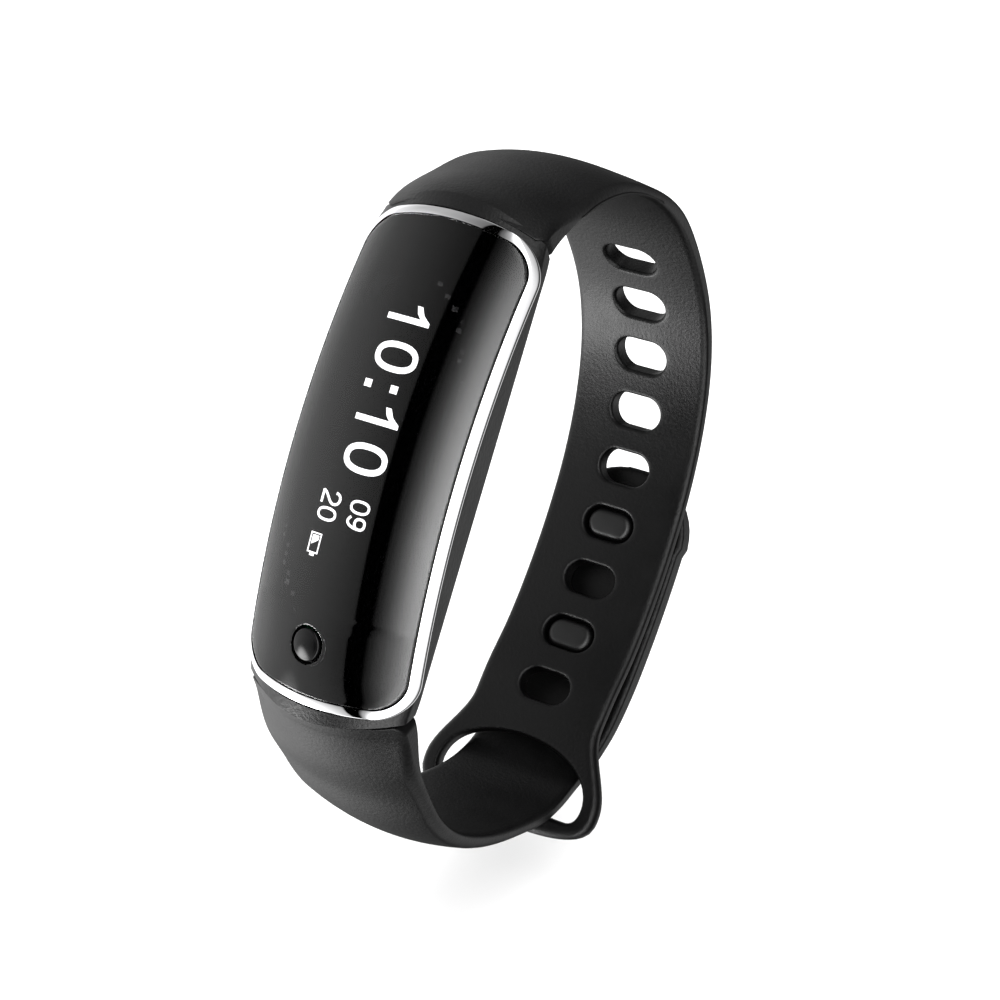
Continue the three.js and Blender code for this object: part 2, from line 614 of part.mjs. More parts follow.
function clasp() {
  let body = solid(pegPlate(0));
  const outline = stadium(PEG.length - 2 * PEG.round, PEG.width - 2 * PEG.round);
  for (const { number, s } of pegStations) {
    const hole = holeRoute.frame(holeAt(number));
    const plate = pegRoute.frame(s);
    const reach = Math.hypot(plate.y - hole.y, plate.z - hole.z) + 0.5;
    const peg = new THREE.ExtrudeGeometry(outline, {
      depth: reach - PEG.recess - 2 * PEG.round,
      bevelThickness: PEG.round,
      bevelSize: PEG.round,
      bevelSegments: 3,
      curveSegments: 6,
    });
    peg.translate(0, 0, PEG.recess + PEG.round).applyMatrix4(holeRoute.basis(holeAt(number)));
    body = body.add(solid(peg));
  }
  return body;
}

// ---- Assembly -----------------------------------------------------------------------------------
inModule("mid_housing", midHousing(), MATERIALS.housing);
inModule("bezel_ring", solid(curvedRing(RING, ringSection, faceZ)), MATERIALS.chrome);
inModule("lens", lens(), MATERIALS.lens);
inModule("key_cap", keyCap(), MATERIALS.key);
inModule("key_switch", keySwitch(), MATERIALS.chip);
inModule(
  "key_switch_plunger",
  solid(drum(KEY.x, KEY.y, 0.6, switchTop + 0.05, plungerTop, 16)),
  MATERIALS.steel,
);
inModule("oled_panel", solid(block(DISPLAY.x, DISPLAY.y, DISPLAY.halfWidth, DISPLAY.halfLength,
  DISPLAY.topZ - DISPLAY.thickness, DISPLAY.topZ)), MATERIALS.glass);
inModule("display_bracket", displayBracket(), MATERIALS.housing);
inModule("display_flex", solid(displayFlex()), MATERIALS.flex);
inModule("main_board", mainBoard(), MATERIALS.board);
inModule("radio_chip", solid(block(0, SENSOR.y, 2.5, 2.5, -6.9, -6.08)), MATERIALS.chip);
inModule("shield_can", shieldCan(), MATERIALS.shield);
const motionSensorChip = block(4.6, -15.2, 1.0, 0.9, BOARD.topZ + 0.08, BOARD.topZ + 0.9);
inModule("motion_sensor_chip", solid(motionSensorChip), MATERIALS.chip);
const chipAntenna = block(-4.6, -15.2, 1.5, 0.8, BOARD.topZ + 0.08, BOARD.topZ + 0.9);
inModule("chip_antenna", solid(chipAntenna), MATERIALS.flex);
inModule("battery", solid(prism(roundedRect(BATTERY.halfWidth, BATTERY.halfLength, BATTERY.corner),
  BATTERY.topZ - BATTERY.height, BATTERY.topZ, 3).translate(0, BATTERY.y, 0)), MATERIALS.battery);
inModule("battery_pad", solid(block(0, BATTERY.y, 5.2, 6.4, -8.92, -8.7)), MATERIALS.foam);
inModule("motor_case", motorCase(), MATERIALS.steel);
inModule("motor_base", motorBase(), MATERIALS.steel);
inModule("motor_rotor", motorRotor(), MATERIALS.gold);
inModule("sensor_board", solid(block(0, SENSOR.y, 3.2, 3.2, -8.35, -7.9)), MATERIALS.board);
inModule("sensor_led_left", solid(block(-1.9, SENSOR.y, 0.6, 0.8, -8.85, -8.45)), MATERIALS.diffuser);
inModule("sensor_led_right", solid(block(1.9, SENSOR.y, 0.6, 0.8, -8.85, -8.45)), MATERIALS.diffuser);
inModule("sensor_photodiode", solid(block(0, SENSOR.y, 0.9, 1.1, -8.85, -8.45)), MATERIALS.chip);
inModule("sensor_window", solid(prism(roundedRect(SENSOR.halfWidth - 0.12, SENSOR.halfLength - 0.12, 1.5),
  POD.bottomZ - 0.15, POD.bottomZ + 0.75).translate(0, SENSOR.y, 0)), MATERIALS.glass);
inModule("back_cover", backCover(), MATERIALS.housing);
inModule("back_gasket", cut(
  solid(prism(
    roundedRect(CAVITY.halfWidth - 0.12, CAVITY.halfLength - 0.12, 2.1), COVER.topZ + 0.06, CAVITY.ledgeZ - 0.05,
  )),
  prism(roundedRect(7.72, 18.82, 1.8), -8, 0),
), MATERIALS.gasket);
inModule("charge_contact_left", contactPad(-CONTACT.x), MATERIALS.gold);
inModule("charge_contact_right", contactPad(CONTACT.x), MATERIALS.gold);
let screwNumber = 0;
for (const x of [-SCREW.x, SCREW.x]) {
  for (const y of [-SCREW.y, SCREW.y]) {
    screwNumber += 1;
    inModule(`back_screw_${screwNumber}`, backScrew(x, y), MATERIALS.steel);
  }
}

inBand("hole_strap", holeStrap(), MATERIALS.silicone);
inBand("lower_strap", lowerStrap(), MATERIALS.silicone);
inBand("strap_tail", strapTail(), MATERIALS.silicone);
inBand("clasp_pegs", clasp(), MATERIALS.peg);
inBand(
  "hole_strap_pin",
  solid(anchorPin(0, PIN_HALF_LENGTH).applyMatrix4(holeRoute.basis(0))),
  MATERIALS.steel,
);
inBand(
  "lower_strap_pin",
  solid(anchorPin(0, PIN_HALF_LENGTH).applyMatrix4(pegRoute.basis(0))),
  MATERIALS.steel,
);

band.rotation.x = THREE.MathUtils.degToRad(FACE_TILT_DEG);
const fitnessBand = new THREE.Group();
fitnessBand.add(band);

export default fitnessBand;
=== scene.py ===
"""Fitness tracker band: curved display capsule on a two-piece silicone strap, closed as it is worn.

The pieces are laid out in millimetres in the band's own frame, with x across, y along the capsule and z out
of its face, and tilted into the row frame. Driving sizes repeat those of the frame's solids.
"""
import json
import math

import bmesh
import bpy
from mathutils import Matrix, Vector


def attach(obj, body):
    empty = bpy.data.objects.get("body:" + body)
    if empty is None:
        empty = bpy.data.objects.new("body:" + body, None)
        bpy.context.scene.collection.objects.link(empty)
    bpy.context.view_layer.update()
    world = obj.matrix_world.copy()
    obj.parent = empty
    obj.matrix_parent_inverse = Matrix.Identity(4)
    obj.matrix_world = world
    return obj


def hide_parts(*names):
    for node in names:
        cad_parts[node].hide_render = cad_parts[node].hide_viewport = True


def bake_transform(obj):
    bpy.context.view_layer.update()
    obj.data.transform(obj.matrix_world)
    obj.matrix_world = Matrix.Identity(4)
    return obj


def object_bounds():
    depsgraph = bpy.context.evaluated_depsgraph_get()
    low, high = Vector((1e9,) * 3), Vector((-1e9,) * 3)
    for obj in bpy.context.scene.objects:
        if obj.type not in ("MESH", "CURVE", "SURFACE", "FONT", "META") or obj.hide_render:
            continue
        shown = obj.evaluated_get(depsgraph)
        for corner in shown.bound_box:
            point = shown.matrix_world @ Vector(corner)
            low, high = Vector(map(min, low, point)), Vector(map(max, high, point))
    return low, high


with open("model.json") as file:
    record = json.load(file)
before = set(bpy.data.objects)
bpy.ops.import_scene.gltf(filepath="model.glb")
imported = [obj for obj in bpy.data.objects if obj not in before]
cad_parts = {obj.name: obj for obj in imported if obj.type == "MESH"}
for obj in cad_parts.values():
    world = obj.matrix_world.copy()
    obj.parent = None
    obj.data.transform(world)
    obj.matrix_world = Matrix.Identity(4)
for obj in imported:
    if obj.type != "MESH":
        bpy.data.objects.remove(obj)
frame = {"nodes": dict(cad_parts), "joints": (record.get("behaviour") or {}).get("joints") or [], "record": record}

CAD_BOX = [list(corner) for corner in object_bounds()]

# ---- Sizes in millimetres ----
MM = 0.001
CAPSULE_AT = (0.0, 1.4, 30.0)  # top of the capsule's crest in the band frame
HALF_WIDTH = 9.7
ROOT_HALF_WIDTH = 8.7  # where the capsule's ends and the straps' roots meet
FACE_ACROSS = 29.0
FACE_ALONG = 152.0
SEAM_Y, SEAM_Z = 21.15, -7.85  # inner corner of a strap root, in the capsule's frame
RING = {"half_width": 9.72, "half_length": 23.4, "corner": 3.2, "width": 0.87}
LENS = {"half_width": 8.82, "half_length": 22.47, "corner": 2.5, "flat_z": -2.75, "thickness": 0.85}
BOWED_CORNER = 0.4  # added to a corner's radius where the ends are bowed
END_BOW = 1.7  # the ring's and window's ends stand out by this much from corner to middle
FACE_Y = -0.1  # middle of the ring and window along the capsule
KEY = {"x": -1.0, "y": -18.05, "radius": 1.5, "groove": 1.75, "rise": 0.2}
DISPLAY = {"x": -1.1, "y": 1.7, "half_width": 3.6, "half_length": 14.4}
HOLE = {"pitch": 6.3, "count": 9, "length": 5.9, "width": 3.6}
PEG_HOLES = (6, 8)
PEG = {"length": 5.3, "width": 3.05, "recess": 0.2, "rim": 0.75}
PEG_PLATE = {"half_width": 4.2, "past": 2.6, "low": 0.03, "high": 0.8}
LAP = 3  # from the holed strap's inner face out to the tail's, about
STRAP_HALF_WIDTH = 7.78
HOOP = {"past": 15.3, "widest": 11.2, "half_width": 10.9, "neck": 2.6}
SEAM_GAP = 0.07
SEAM_RIM = 0.09
STRAP_RIM = 0.85
HOLE_RIM = 0.4
BACK_OPENING = (8.15, 19.25, 2.2, -14.0, -5.95)  # half width, half length, corner, lowest and highest z
CAVITY = (7.6, 18.7, 1.8, -14.0, 0.0)
GLYPH_LOW, GLYPH_HIGH = -2.745, -2.715
EDGE = 0.08  # bevel on the solids kept from the frame

SEAM = (CAPSULE_AT[1] + SEAM_Y, CAPSULE_AT[2] + SEAM_Z)
HOLE_STRAP_ROUTE = [
    SEAM, (24.5, 20.8), (28.7, 15.7), (31.1, 10.3), (31.9, 3.9), (30.8, -3.4),
    (27.6, -10.2), (23.7, -15.3), (18.7, -19.1), (13.0, -21.5), (6.8, -22.75), (0.5, -22.95), (-5.8, -22.4),
    (-12.0, -21.2), (-18.0, -19.2), (-25.4, -17.9), (-33.0, -16.9),
]
PEG_STRAP_ROUTE = [
    (2 * CAPSULE_AT[1] - SEAM[0], SEAM[1]), (-21.05, 20.8), (-24.9, 17.9), (-27.7, 14.2), (-30.1, 10.0),
    (-31.5, 5.3), (-31.9, 0.1), (-31.5, -5.2), (-30.3, -10.9), (-28.9, -15.1), (-27.0, -18.2),
    (-24.0, -21.1), (-18.2, -23.4), (-12.2, -24.8), (-6.0, -25.7), (0.3, -26.1), (7.2, -26.0),
]

# ---- Light and view ----
# Brightness of the room by angle across the band from straight out of the face, and by direction along it.
ACROSS_STOPS = [
    (-180, 0.05), (-162, 0.08), (-150, 0.15), (-140, 0.45), (-128, 1.1), (-112, 1.7), (-98, 1.7), (-90, 1.2),
    (-78, 0.95), (-55, 0.92), (-30, 0.66), (-12, 0.4), (-7.2, 0.34), (-6.2, 0.0), (6.5, 0.0), (7.5, 0.22),
    (10, 0.32), (15, 0.95), (20, 2.3), (25, 4.6), (32, 7.5), (37, 1.6), (60, 1.0), (68, 0.3), (85, 0.04),
    (115, 0.04), (140, 0.7), (165, 0.6), (180, 0.05),
]
ALONG_STOPS = [
    (-1, 1.6), (-0.75, 1.6), (-0.5, 1.1), (-0.2, 1.35), (0.1, 1.15), (0.35, 0.9), (0.6, 0.55), (1, 0.4),
]
ACROSS_FULL, ALONG_FULL = 8.0, 2.0  # brightness that a ramp's white stands for
ROOM = 2.1  # brightness for rays that are not reflections
LIGHT_PANEL = {"across": -0.6, "along": -0.75, "outward": 0.28, "edge": 0.93, "full": 0.995, "level": 11.0}
FLOOR_DROP = 4.6  # keeps the floor clear of the free end at its full lift
FLOOR_HALF = 1.6  # metres
CAMERA = {
    "at": (0.11246, -0.17607, 0.11482), "toward": (-0.475, 0.738, -0.480), "lens": 85.87, "sensor": 36,
    "near": 0.01, "shift_x": -0.0018,
}

# ---- Frames ----
JOINTS = {joint["name"]: joint for joint in frame["joints"]}
INWARD = Vector(JOINTS["key_press"]["axis"]).normalized()
TILT = Matrix.Rotation(math.atan2(INWARD.y, -INWARD.z), 3, "X")


def in_band(x, y, z):
    return TILT @ Vector((x, y, z)) * MM


def in_capsule(x, y, z):
    return in_band(x + CAPSULE_AT[0], y + CAPSULE_AT[1], z + CAPSULE_AT[2])


def face_z(x, y):
    return -x * x / FACE_ACROSS - y * y / FACE_ALONG


def lerp(a, b, share):
    return a + (b - a) * share


def smooth(share):
    share = min(1.0, max(0.0, share))
    return share * share * (3 - 2 * share)


def along(s, *pairs):
    """Value that eases from pair to pair of (distance, value)."""
    for (s0, v0), (s1, v1) in zip(pairs, pairs[1:]):
        if s <= s1:
            return lerp(v0, v1, smooth((s - s0) / (s1 - s0)))
    return pairs[-1][1]


def spaced(a, b, steps):
    return [lerp(a, b, i / steps) for i in range(steps + 1)]


# ---- Strap routes ----
class Route:
    """A strap's inner surface in the band's (y, z) plane, as a centripetal Catmull-Rom curve."""

    STEPS = 60

    def __init__(self, points, side):
        self.side = side
        points = [Vector(p) for p in points]
        points = [2 * points[0] - points[1], *points, 2 * points[-1] - points[-2]]
        self.samples = []
        for p0, p1, p2, p3 in zip(points, points[1:], points[2:], points[3:]):
            gaps = [math.sqrt((b - a).length) for a, b in ((p0, p1), (p1, p2), (p2, p3))]
            out1 = (p1 - p0) / gaps[0] - (p2 - p0) / (gaps[0] + gaps[1]) + (p2 - p1) / gaps[1]
            out2 = (p2 - p1) / gaps[1] - (p3 - p1) / (gaps[1] + gaps[2]) + (p3 - p2) / gaps[2]
            for i in range(self.STEPS):
                t = i / self.STEPS
                t2, t3 = t * t, t * t * t
                self.samples.append(
                    p1 * (2 * t3 - 3 * t2 + 1) + out1 * gaps[1] * (t3 - 2 * t2 + t)
                    + p2 * (3 * t2 - 2 * t3) + out2 * gaps[1] * (t3 - t2)
                )
        self.samples.append(points[-2])
        self.reached = [0.0]
        for a, b in zip(self.samples, self.samples[1:]):
            self.reached.append(self.reached[-1] + (b - a).length)
        self.length = self.reached[-1]

    def point(self, s):
        s = min(self.length, max(0.0, s))
        low, high = 0, len(self.reached) - 1
        while high - low > 1:
            middle = (low + high) // 2
            if self.reached[middle] <= s:
                low = middle
            else:
                high = middle
        share = (s - self.reached[low]) / (self.reached[high] - self.reached[low])
        return self.samples[low].lerp(self.samples[high], share)

    def out(self, s):
        step = 0.25
        a, b = self.point(s - step), self.point(s + step)
        direction = (b - a).normalized()
        return Vector((-self.side * direction.y, self.side * direction.x))

    def place(self, x, s, h):
        spot = self.point(s) + self.out(s) * h
        return in_band(x, spot.x, spot.y)

    def nearest(self, spot):
        best = min(range(len(self.samples)), key=lambda i: (self.samples[i] - spot).length)
        return self.reached[best]


HOLED = Route(HOLE_STRAP_ROUTE, 1)
PEGGED = Route(PEG_STRAP_ROUTE, -1)
LAST_HOLE = HOLED.length - HOOP["past"]


def hole_at(number):
    return LAST_HOLE - (HOLE["count"] - number) * HOLE["pitch"]


hinge_row = Vector(JOINTS["tail_lift"]["pos_m"]) / MM
hinge_band = TILT.transposed() @ hinge_row
HINGE = PEGGED.nearest(Vector((hinge_band.y, hinge_band.z)))


# ---- Plan meshes ----
class Plan:
    """A flat quad mesh, thickened between two surfaces, with rounded rims on its outline and holes."""

    def __init__(self):
        self.points = []
        self.known = {}
        self.faces = []

    def at(self, point):
        key = (round(point[0], 3), round(point[1], 3))
        if key not in self.known:
            self.known[key] = len(self.points)
            self.points.append(Vector(point[:2]))
        return self.known[key]

    def face(self, *corners):
        ids = []
        for corner in corners:
            i = self.at(corner)
            if i not in ids:
                ids.append(i)
        if len(ids) > 2:
            self.faces.append(ids)

    def grid(self, rows):
        for low, high in zip(rows, rows[1:]):
            for i in range(len(low) - 1):
                self.face(low[i], low[i + 1], high[i + 1], high[i])

    def ring(self, inner, outer, shares):
        """Quads between two closed loops with the same number of points, both running anticlockwise."""
        count = len(inner)
        loops = [[Vector(a).lerp(Vector(b), t) for a, b in zip(inner, outer)] for t in shares]
        for near, far in zip(loops, loops[1:]):
            for i in range(count):
                j = (i + 1) % count
                self.face(near[i], far[i], far[j], near[j])

    def thicken(self, name, place, bottom, top, rim, steps=4):
        """rim(x, y, outer) gives (inset, height below, height above) on the outline or round a hole."""
        used = {}
        for ids in self.faces:
            for a, b in zip(ids, ids[1:] + ids[:1]):
                used[(a, b)] = used.get((a, b), 0) + 1
        edges = [(a, b) for a, b in used if (b, a) not in used]
        following = {a: b for a, b in edges}
        before = {b: a for a, b in edges}
        furthest = max(following, key=lambda i: self.points[i].y)
        outline, i = {furthest}, following[furthest]
        while i != furthest:
            outline.add(i)
            i = following[i]
        mesh = bmesh.new()
        uppers = [mesh.verts.new(place(p.x, p.y, top(p.x, p.y))) for p in self.points]
        lowers = [mesh.verts.new(place(p.x, p.y, bottom(p.x, p.y))) for p in self.points]
        for ids in self.faces:
            mesh.faces.new([uppers[i] for i in ids])
            mesh.faces.new([lowers[i] for i in reversed(ids)])
        rings = {}
        for i in following:
            point = self.points[i]
            ahead = (self.points[following[i]] - point).normalized()
            behind = (point - self.points[before[i]]).normalized()
            normal = Vector((ahead.y + behind.y, -ahead.x - behind.x)).normalized()
            stretch = 1 / max(0.6, normal.dot(Vector((ahead.y, -ahead.x))))
            inset, below, above = rim(point.x, point.y, i in outline)
            column = [uppers[i]]
            levels = [(k, above, 1) for k in range(1, steps + 1)]
            levels += [(k, below, 0) for k in range(steps, 0, -1)]
            for k, height, upper in levels:
                angle = math.pi / 2 * k / steps
                spot = point + normal * stretch * inset * math.sin(angle)
                drop = height * (1 - math.cos(angle))
                h = top(spot.x, spot.y) - drop if upper else bottom(spot.x, spot.y) + drop
                column.append(mesh.verts.new(place(spot.x, spot.y, h)))
            column.append(lowers[i])
            rings[i] = column
        for a, b in following.items():
            for k in range(len(rings[a]) - 1):
                mesh.faces.new((rings[a][k], rings[a][k + 1], rings[b][k + 1], rings[b][k]))
        piece = finished(name, mesh)
        even = piece.modifiers.new("even", "WEIGHTED_NORMAL")
        even.keep_sharp = True
        return piece


def finished(name, mesh, smooth_faces=True):
    bmesh.ops.recalc_face_normals(mesh, faces=mesh.faces)
    data = bpy.data.meshes.new(name)
    mesh.to_mesh(data)
    mesh.free()
    if smooth_faces:
        data.shade_smooth()
    piece = bpy.data.objects.new(name, data)
    bpy.context.scene.collection.objects.link(piece)
    return piece


def loop_length(points):
    return sum((Vector(b) - Vector(a)).length for a, b in zip(points, points[1:]))


def resampled(points, count):
    """count + 1 points at even distances along an open polyline."""
    points = [Vector(p) for p in points]
    total = loop_length(points)
    made, reached, k = [points[0]], 0.0, 0
    for i in range(1, count):
        wanted = total * i / count
        while reached + (points[k + 1] - points[k]).length < wanted:
            reached += (points[k + 1] - points[k]).length
            k += 1
        share = (wanted - reached) / (points[k + 1] - points[k]).length
        made.append(points[k].lerp(points[k + 1], share))
    return made + [points[-1]]


def offset(points, distance):
    """An open anticlockwise polyline moved to its right-hand side, away from what it encloses."""
    points = [Vector(p) for p in points]
    made = []
    for i, point in enumerate(points):
        a = points[max(0, i - 1)]
        b = points[min(len(points) - 1, i + 1)]
        direction = (b - a).normalized()
        made.append(point + Vector((direction.y, -direction.x)) * distance)
    return made


def stadium(length, width, count, start=0.0):
    """count points evenly round a stadium, anticlockwise, from the share start of its way round."""
    straight, radius = (length - width) / 2, width / 2
    perimeter = 4 * straight + 2 * math.pi * radius
    made = []
    for i in range(count):
        at = ((start + i / count) % 1.0) * perimeter
        quarter = math.pi * radius / 2
        if at < quarter or at > perimeter - quarter:
            angle = (at if at < quarter else at - perimeter) / radius
            made.append(Vector((straight + radius * math.cos(angle), radius * math.sin(angle))))
        elif at < quarter + 2 * straight:
            made.append(Vector((straight - (at - quarter), radius)))
        elif at < 3 * quarter + 2 * straight:
            angle = (at - 2 * straight) / radius
            made.append(Vector((-straight + radius * math.cos(angle), radius * math.sin(angle))))
        else:
            made.append(Vector((-straight + (at - 3 * quarter - 2 * straight), -radius)))
    return made


# ---- Straps ----
COLUMNS = 20


def hoop_half_width(past):
    if past < HOOP["widest"]:
        return along(past, (HOOP["neck"], STRAP_HALF_WIDTH), (HOOP["widest"], HOOP["half_width"]))
    return HOOP["half_width"]


def holed_half_width(s):
    if s > LAST_HOLE:
        return hoop_half_width(s - LAST_HOLE)
    return along(s, (0, ROOT_HALF_WIDTH), (2, ROOT_HALF_WIDTH), (hole_at(2), STRAP_HALF_WIDTH))


def holed_edge(s):
    return along(s, (0, 2.1), (8, 1.3), (18, 1.3), (30, 2.1), (LAST_HOLE, 2.1), (LAST_HOLE + 5, 1.85))


def holed_crown(s):
    return along(s, (0, 2.75), (10, 1.6), (22, 0.9), (hole_at(1) + 2, 0))


def crowned(edge, crown, half_width):
    def height(x, s):
        share = min(1.0, abs(x) / half_width(s))
        return edge(s) + crown(s) * (1 - share * share)
    return height


def strap_row(s, half_width):
    reach = half_width(s) - STRAP_RIM
    return [(lerp(-reach, reach, i / COLUMNS), s) for i in range(COLUMNS + 1)]


def hoop_outline():
    """Right-hand side, round end and left-hand side of the hoop, from the last hole's cell."""
    start = HOLE["pitch"] / 2
    side = [(hoop_half_width(p), p) for p in spaced(start, HOOP["widest"], 30)]
    end = []
    for i in range(1, 40):
        turn = math.pi / 2 * i / 40
        x = HOOP["half_width"] * math.cos(turn) ** (2 / 3)
        end.append((x, HOOP["widest"] + (HOOP["past"] - HOOP["widest"]) * math.sin(turn) ** (2 / 3)))
    right = side + end
    left = [(-x, y) for x, y in reversed(right)]
    return right + [(0, HOOP["past"])] + left


def bezier(a, b, c, d, steps):
    a, b, c, d = map(Vector, (a, b, c, d))
    return [
        a * (1 - t) ** 3 + b * 3 * t * (1 - t) ** 2 + c * 3 * t * t * (1 - t) + d * t ** 3
        for t in spaced(0, 1, steps)
    ]


def hoop_opening():
    """Outline of the slot in the hoop, anticlockwise from the middle of its edge near the last hole."""
    right = bezier((0, 5.8), (4.4, 5.8), (8.7, 7.6), (8.9, 11.0), 40)
    right += bezier((8.9, 11.0), (8.9, 12.4), (8.4, 13.0), (7.2, 13.0), 20)[1:]
    left = [Vector((-p.x, p.y)) for p in reversed(right)]
    return right + [Vector((0, 13.0))] + left


def holed_strap():
    plan = Plan()
    cell = HOLE["pitch"] / 2
    first = hole_at(1) - cell
    rows = [strap_row(s, holed_half_width) for s in spaced(SEAM_GAP + SEAM_RIM, first, 56)]
    plan.grid(rows)
    side = 8
    for number in range(1, HOLE["count"] + 1):
        middle = hole_at(number)
        low = strap_row(middle - cell, holed_half_width)
        high = strap_row(middle + cell, holed_half_width)
        right = [(holed_half_width(s) - STRAP_RIM, s) for s in spaced(middle - cell, middle + cell, side)]
        left = [(-x, s) for x, s in reversed(right)]
        outer = right[:-1] + list(reversed(high))[:-1] + left[:-1] + low[:-1]
        count = len(outer)
        length, width = HOLE["length"] + 2 * HOLE_RIM, HOLE["width"] + 2 * HOLE_RIM
        inner = [p + Vector((0, middle)) for p in stadium(length, width, count, -side / 2 / count)]
        plan.ring(inner, outer, (0, 0.08, 0.3, 0.62, 1))
    far = 72
    low = strap_row(LAST_HOLE + cell, holed_half_width)
    outline = [Vector((x, LAST_HOLE + y)) for x, y in hoop_outline()]
    outer = resampled(offset(outline, -STRAP_RIM), far)
    outer[0], outer[-1] = Vector(low[-1]), Vector(low[0])
    outer = outer[:-1] + [Vector(p) for p in low[:-1]]
    opening = [p + Vector((0, LAST_HOLE)) for p in hoop_opening()]
    opening = offset(opening, HOLE_RIM)
    wide = next(i for i, p in enumerate(opening) if p.x > 6.2)
    inner = resampled(opening[wide:-wide], far)
    closing = resampled(opening[-wide - 1:] + opening[1:wide + 1], COLUMNS)
    inner = inner[:-1] + closing[:-1]
    plan.ring(inner, outer, (0, 0.1, 0.35, 0.68, 1))
    top = crowned(holed_edge, holed_crown, holed_half_width)

    def rim(x, s, outer):
        if s < 0.01 + SEAM_GAP + SEAM_RIM:
            return (SEAM_RIM, SEAM_RIM, SEAM_RIM)
        if outer:
            below = along(s, (0, 0.3), (LAST_HOLE, 0.35), (LAST_HOLE + 6, 0.8))
            return (STRAP_RIM, below, min(0.9, 0.1 + 0.12 * s))
        return (HOLE_RIM, 0.7, 0.8) if s > LAST_HOLE + 4 else (HOLE_RIM, HOLE_RIM, HOLE_RIM)

    def inside(x, s):
        crown = along(s, (0, 0), (10, 0.35), (LAST_HOLE, 0.35), (LAST_HOLE + 6, 0))
        return crown * (x / STRAP_HALF_WIDTH) ** 2

    return plan.thicken("holed_strap", HOLED.place, inside, top, rim, 6)


def pegged_half_width(s):
    return along(s, (0, ROOT_HALF_WIDTH), (2, ROOT_HALF_WIDTH), (38, 7.5), (HINGE, 6.9), (HINGE + 8, 7.45))


def pegged_edge(s):
    return along(s, (0, 2.1), (12, 1.3), (34, 1.4), (HINGE, 1.8), (HINGE + 14, 2.5))


def pegged_crown(s):
    return along(s, (0, 2.75), (12, 1.4), (36, 1.1), (HINGE - 2, 0.3), (HINGE + 14, 0.15))


def pegged_strap():
    plan = Plan()
    end = PEGGED.length - STRAP_RIM
    radius = STRAP_HALF_WIDTH - STRAP_RIM
    rows = [strap_row(s, pegged_half_width) for s in spaced(SEAM_GAP + SEAM_RIM, end - radius, 110)]
    for i in range(1, 13):
        share = math.sin(math.pi / 2 * i / 12)
        reach = radius * max(0.12, (1 - share ** 2.3) ** 0.5)
        s = end - radius + radius * share
        rows.append([(lerp(-reach, reach, k / COLUMNS), s) for k in range(COLUMNS + 1)])
    plan.grid(rows)
    top = crowned(pegged_edge, pegged_crown, pegged_half_width)

    def rim(x, s, outer):
        if s < 0.01 + SEAM_GAP + SEAM_RIM:
            return (SEAM_RIM, SEAM_RIM, SEAM_RIM)
        return (STRAP_RIM, 0.35, min(0.9, 0.1 + 0.12 * s))

    return plan.thicken("pegged_strap", PEGGED.place, lambda x, s: 0.0, top, rim, 6)


def pegs():
    """Two domed pegs on a thin plate let into the tail's inner face."""
    mesh = bmesh.new()
    spots = []
    for number in PEG_HOLES:
        spot = HOLED.point(hole_at(number)) + HOLED.out(hole_at(number)) * LAP
        spots.append(PEGGED.nearest(spot))
    half_width, columns = PEG_PLATE["half_width"], 8

    def plate_rows(h):
        return [
            [PEGGED.place(lerp(-half_width, half_width, k / columns), s, h) for k in range(columns + 1)]
            for s in spaced(min(spots) - PEG_PLATE["past"], max(spots) + PEG_PLATE["past"], 20)
        ]

    def sheet(grid, flip):
        verts = [[mesh.verts.new(p) for p in row] for row in grid]
        for a, b in zip(verts, verts[1:]):
            for k in range(len(a) - 1):
                corners = (a[k], a[k + 1], b[k + 1], b[k])
                mesh.faces.new(tuple(reversed(corners)) if flip else corners)
        return verts

    under, over = sheet(plate_rows(PEG_PLATE["low"]), True), sheet(plate_rows(PEG_PLATE["high"]), False)
    for i, (a, b) in enumerate(zip(under, under[1:])):
        mesh.faces.new((a[0], b[0], over[i + 1][0], over[i][0]))
        mesh.faces.new((b[-1], a[-1], over[i][-1], over[i + 1][-1]))
    for k in range(columns):
        mesh.faces.new((under[0][k + 1], under[0][k], over[0][k], over[0][k + 1]))
        mesh.faces.new((under[-1][k], under[-1][k + 1], over[-1][k + 1], over[-1][k]))
    rim, steps, count = PEG["rim"], 7, 48
    for number in PEG_HOLES:
        middle = hole_at(number)
        foot = HOLED.point(middle) + HOLED.out(middle) * LAP
        depth = (PEGGED.point(PEGGED.nearest(foot)) - HOLED.point(middle)).length + 0.3
        levels = [(0.0, depth), (0.0, PEG["recess"] + rim)]
        for k in range(1, steps + 1):
            angle = math.pi / 2 * k / steps
            levels.append((rim * (1 - math.cos(angle)), PEG["recess"] + rim * (1 - math.sin(angle))))
        rings = []
        for inset, h in levels:
            loop = stadium(PEG["length"] - 2 * inset, PEG["width"] - 2 * inset, count)
            rings.append([mesh.verts.new(HOLED.place(p.x, middle + p.y, h)) for p in loop])
        for share in (0.6, 0.25):
            h = PEG["recess"] - 0.06 * (1 - share)
            loop = stadium((PEG["length"] - 2 * rim) * share, (PEG["width"] - 2 * rim) * share, count)
            rings.append([mesh.verts.new(HOLED.place(p.x, middle + p.y, h)) for p in loop])
        for a, b in zip(rings, rings[1:]):
            for i in range(count):
                j = (i + 1) % count
                mesh.faces.new((a[i], a[j], b[j], b[i]))
        mesh.faces.new(rings[-1])
        mesh.faces.new(tuple(reversed(rings[0])))
    return finished("clasp_studs", mesh)


# ---- Capsule ----
def bowed(x, y):
    """Where a point of the face's outline lies along the capsule once the outline's ends are bowed."""
    return FACE_Y + y * (1 - END_BOW / RING["half_length"] * (x / HALF_WIDTH) ** 2)


def half_length_at(x, half_width, half_length, corner):
    over = min(corner, max(0.0, abs(x) - (half_width - corner)))
    return half_length - corner + math.sqrt(corner * corner - over * over)


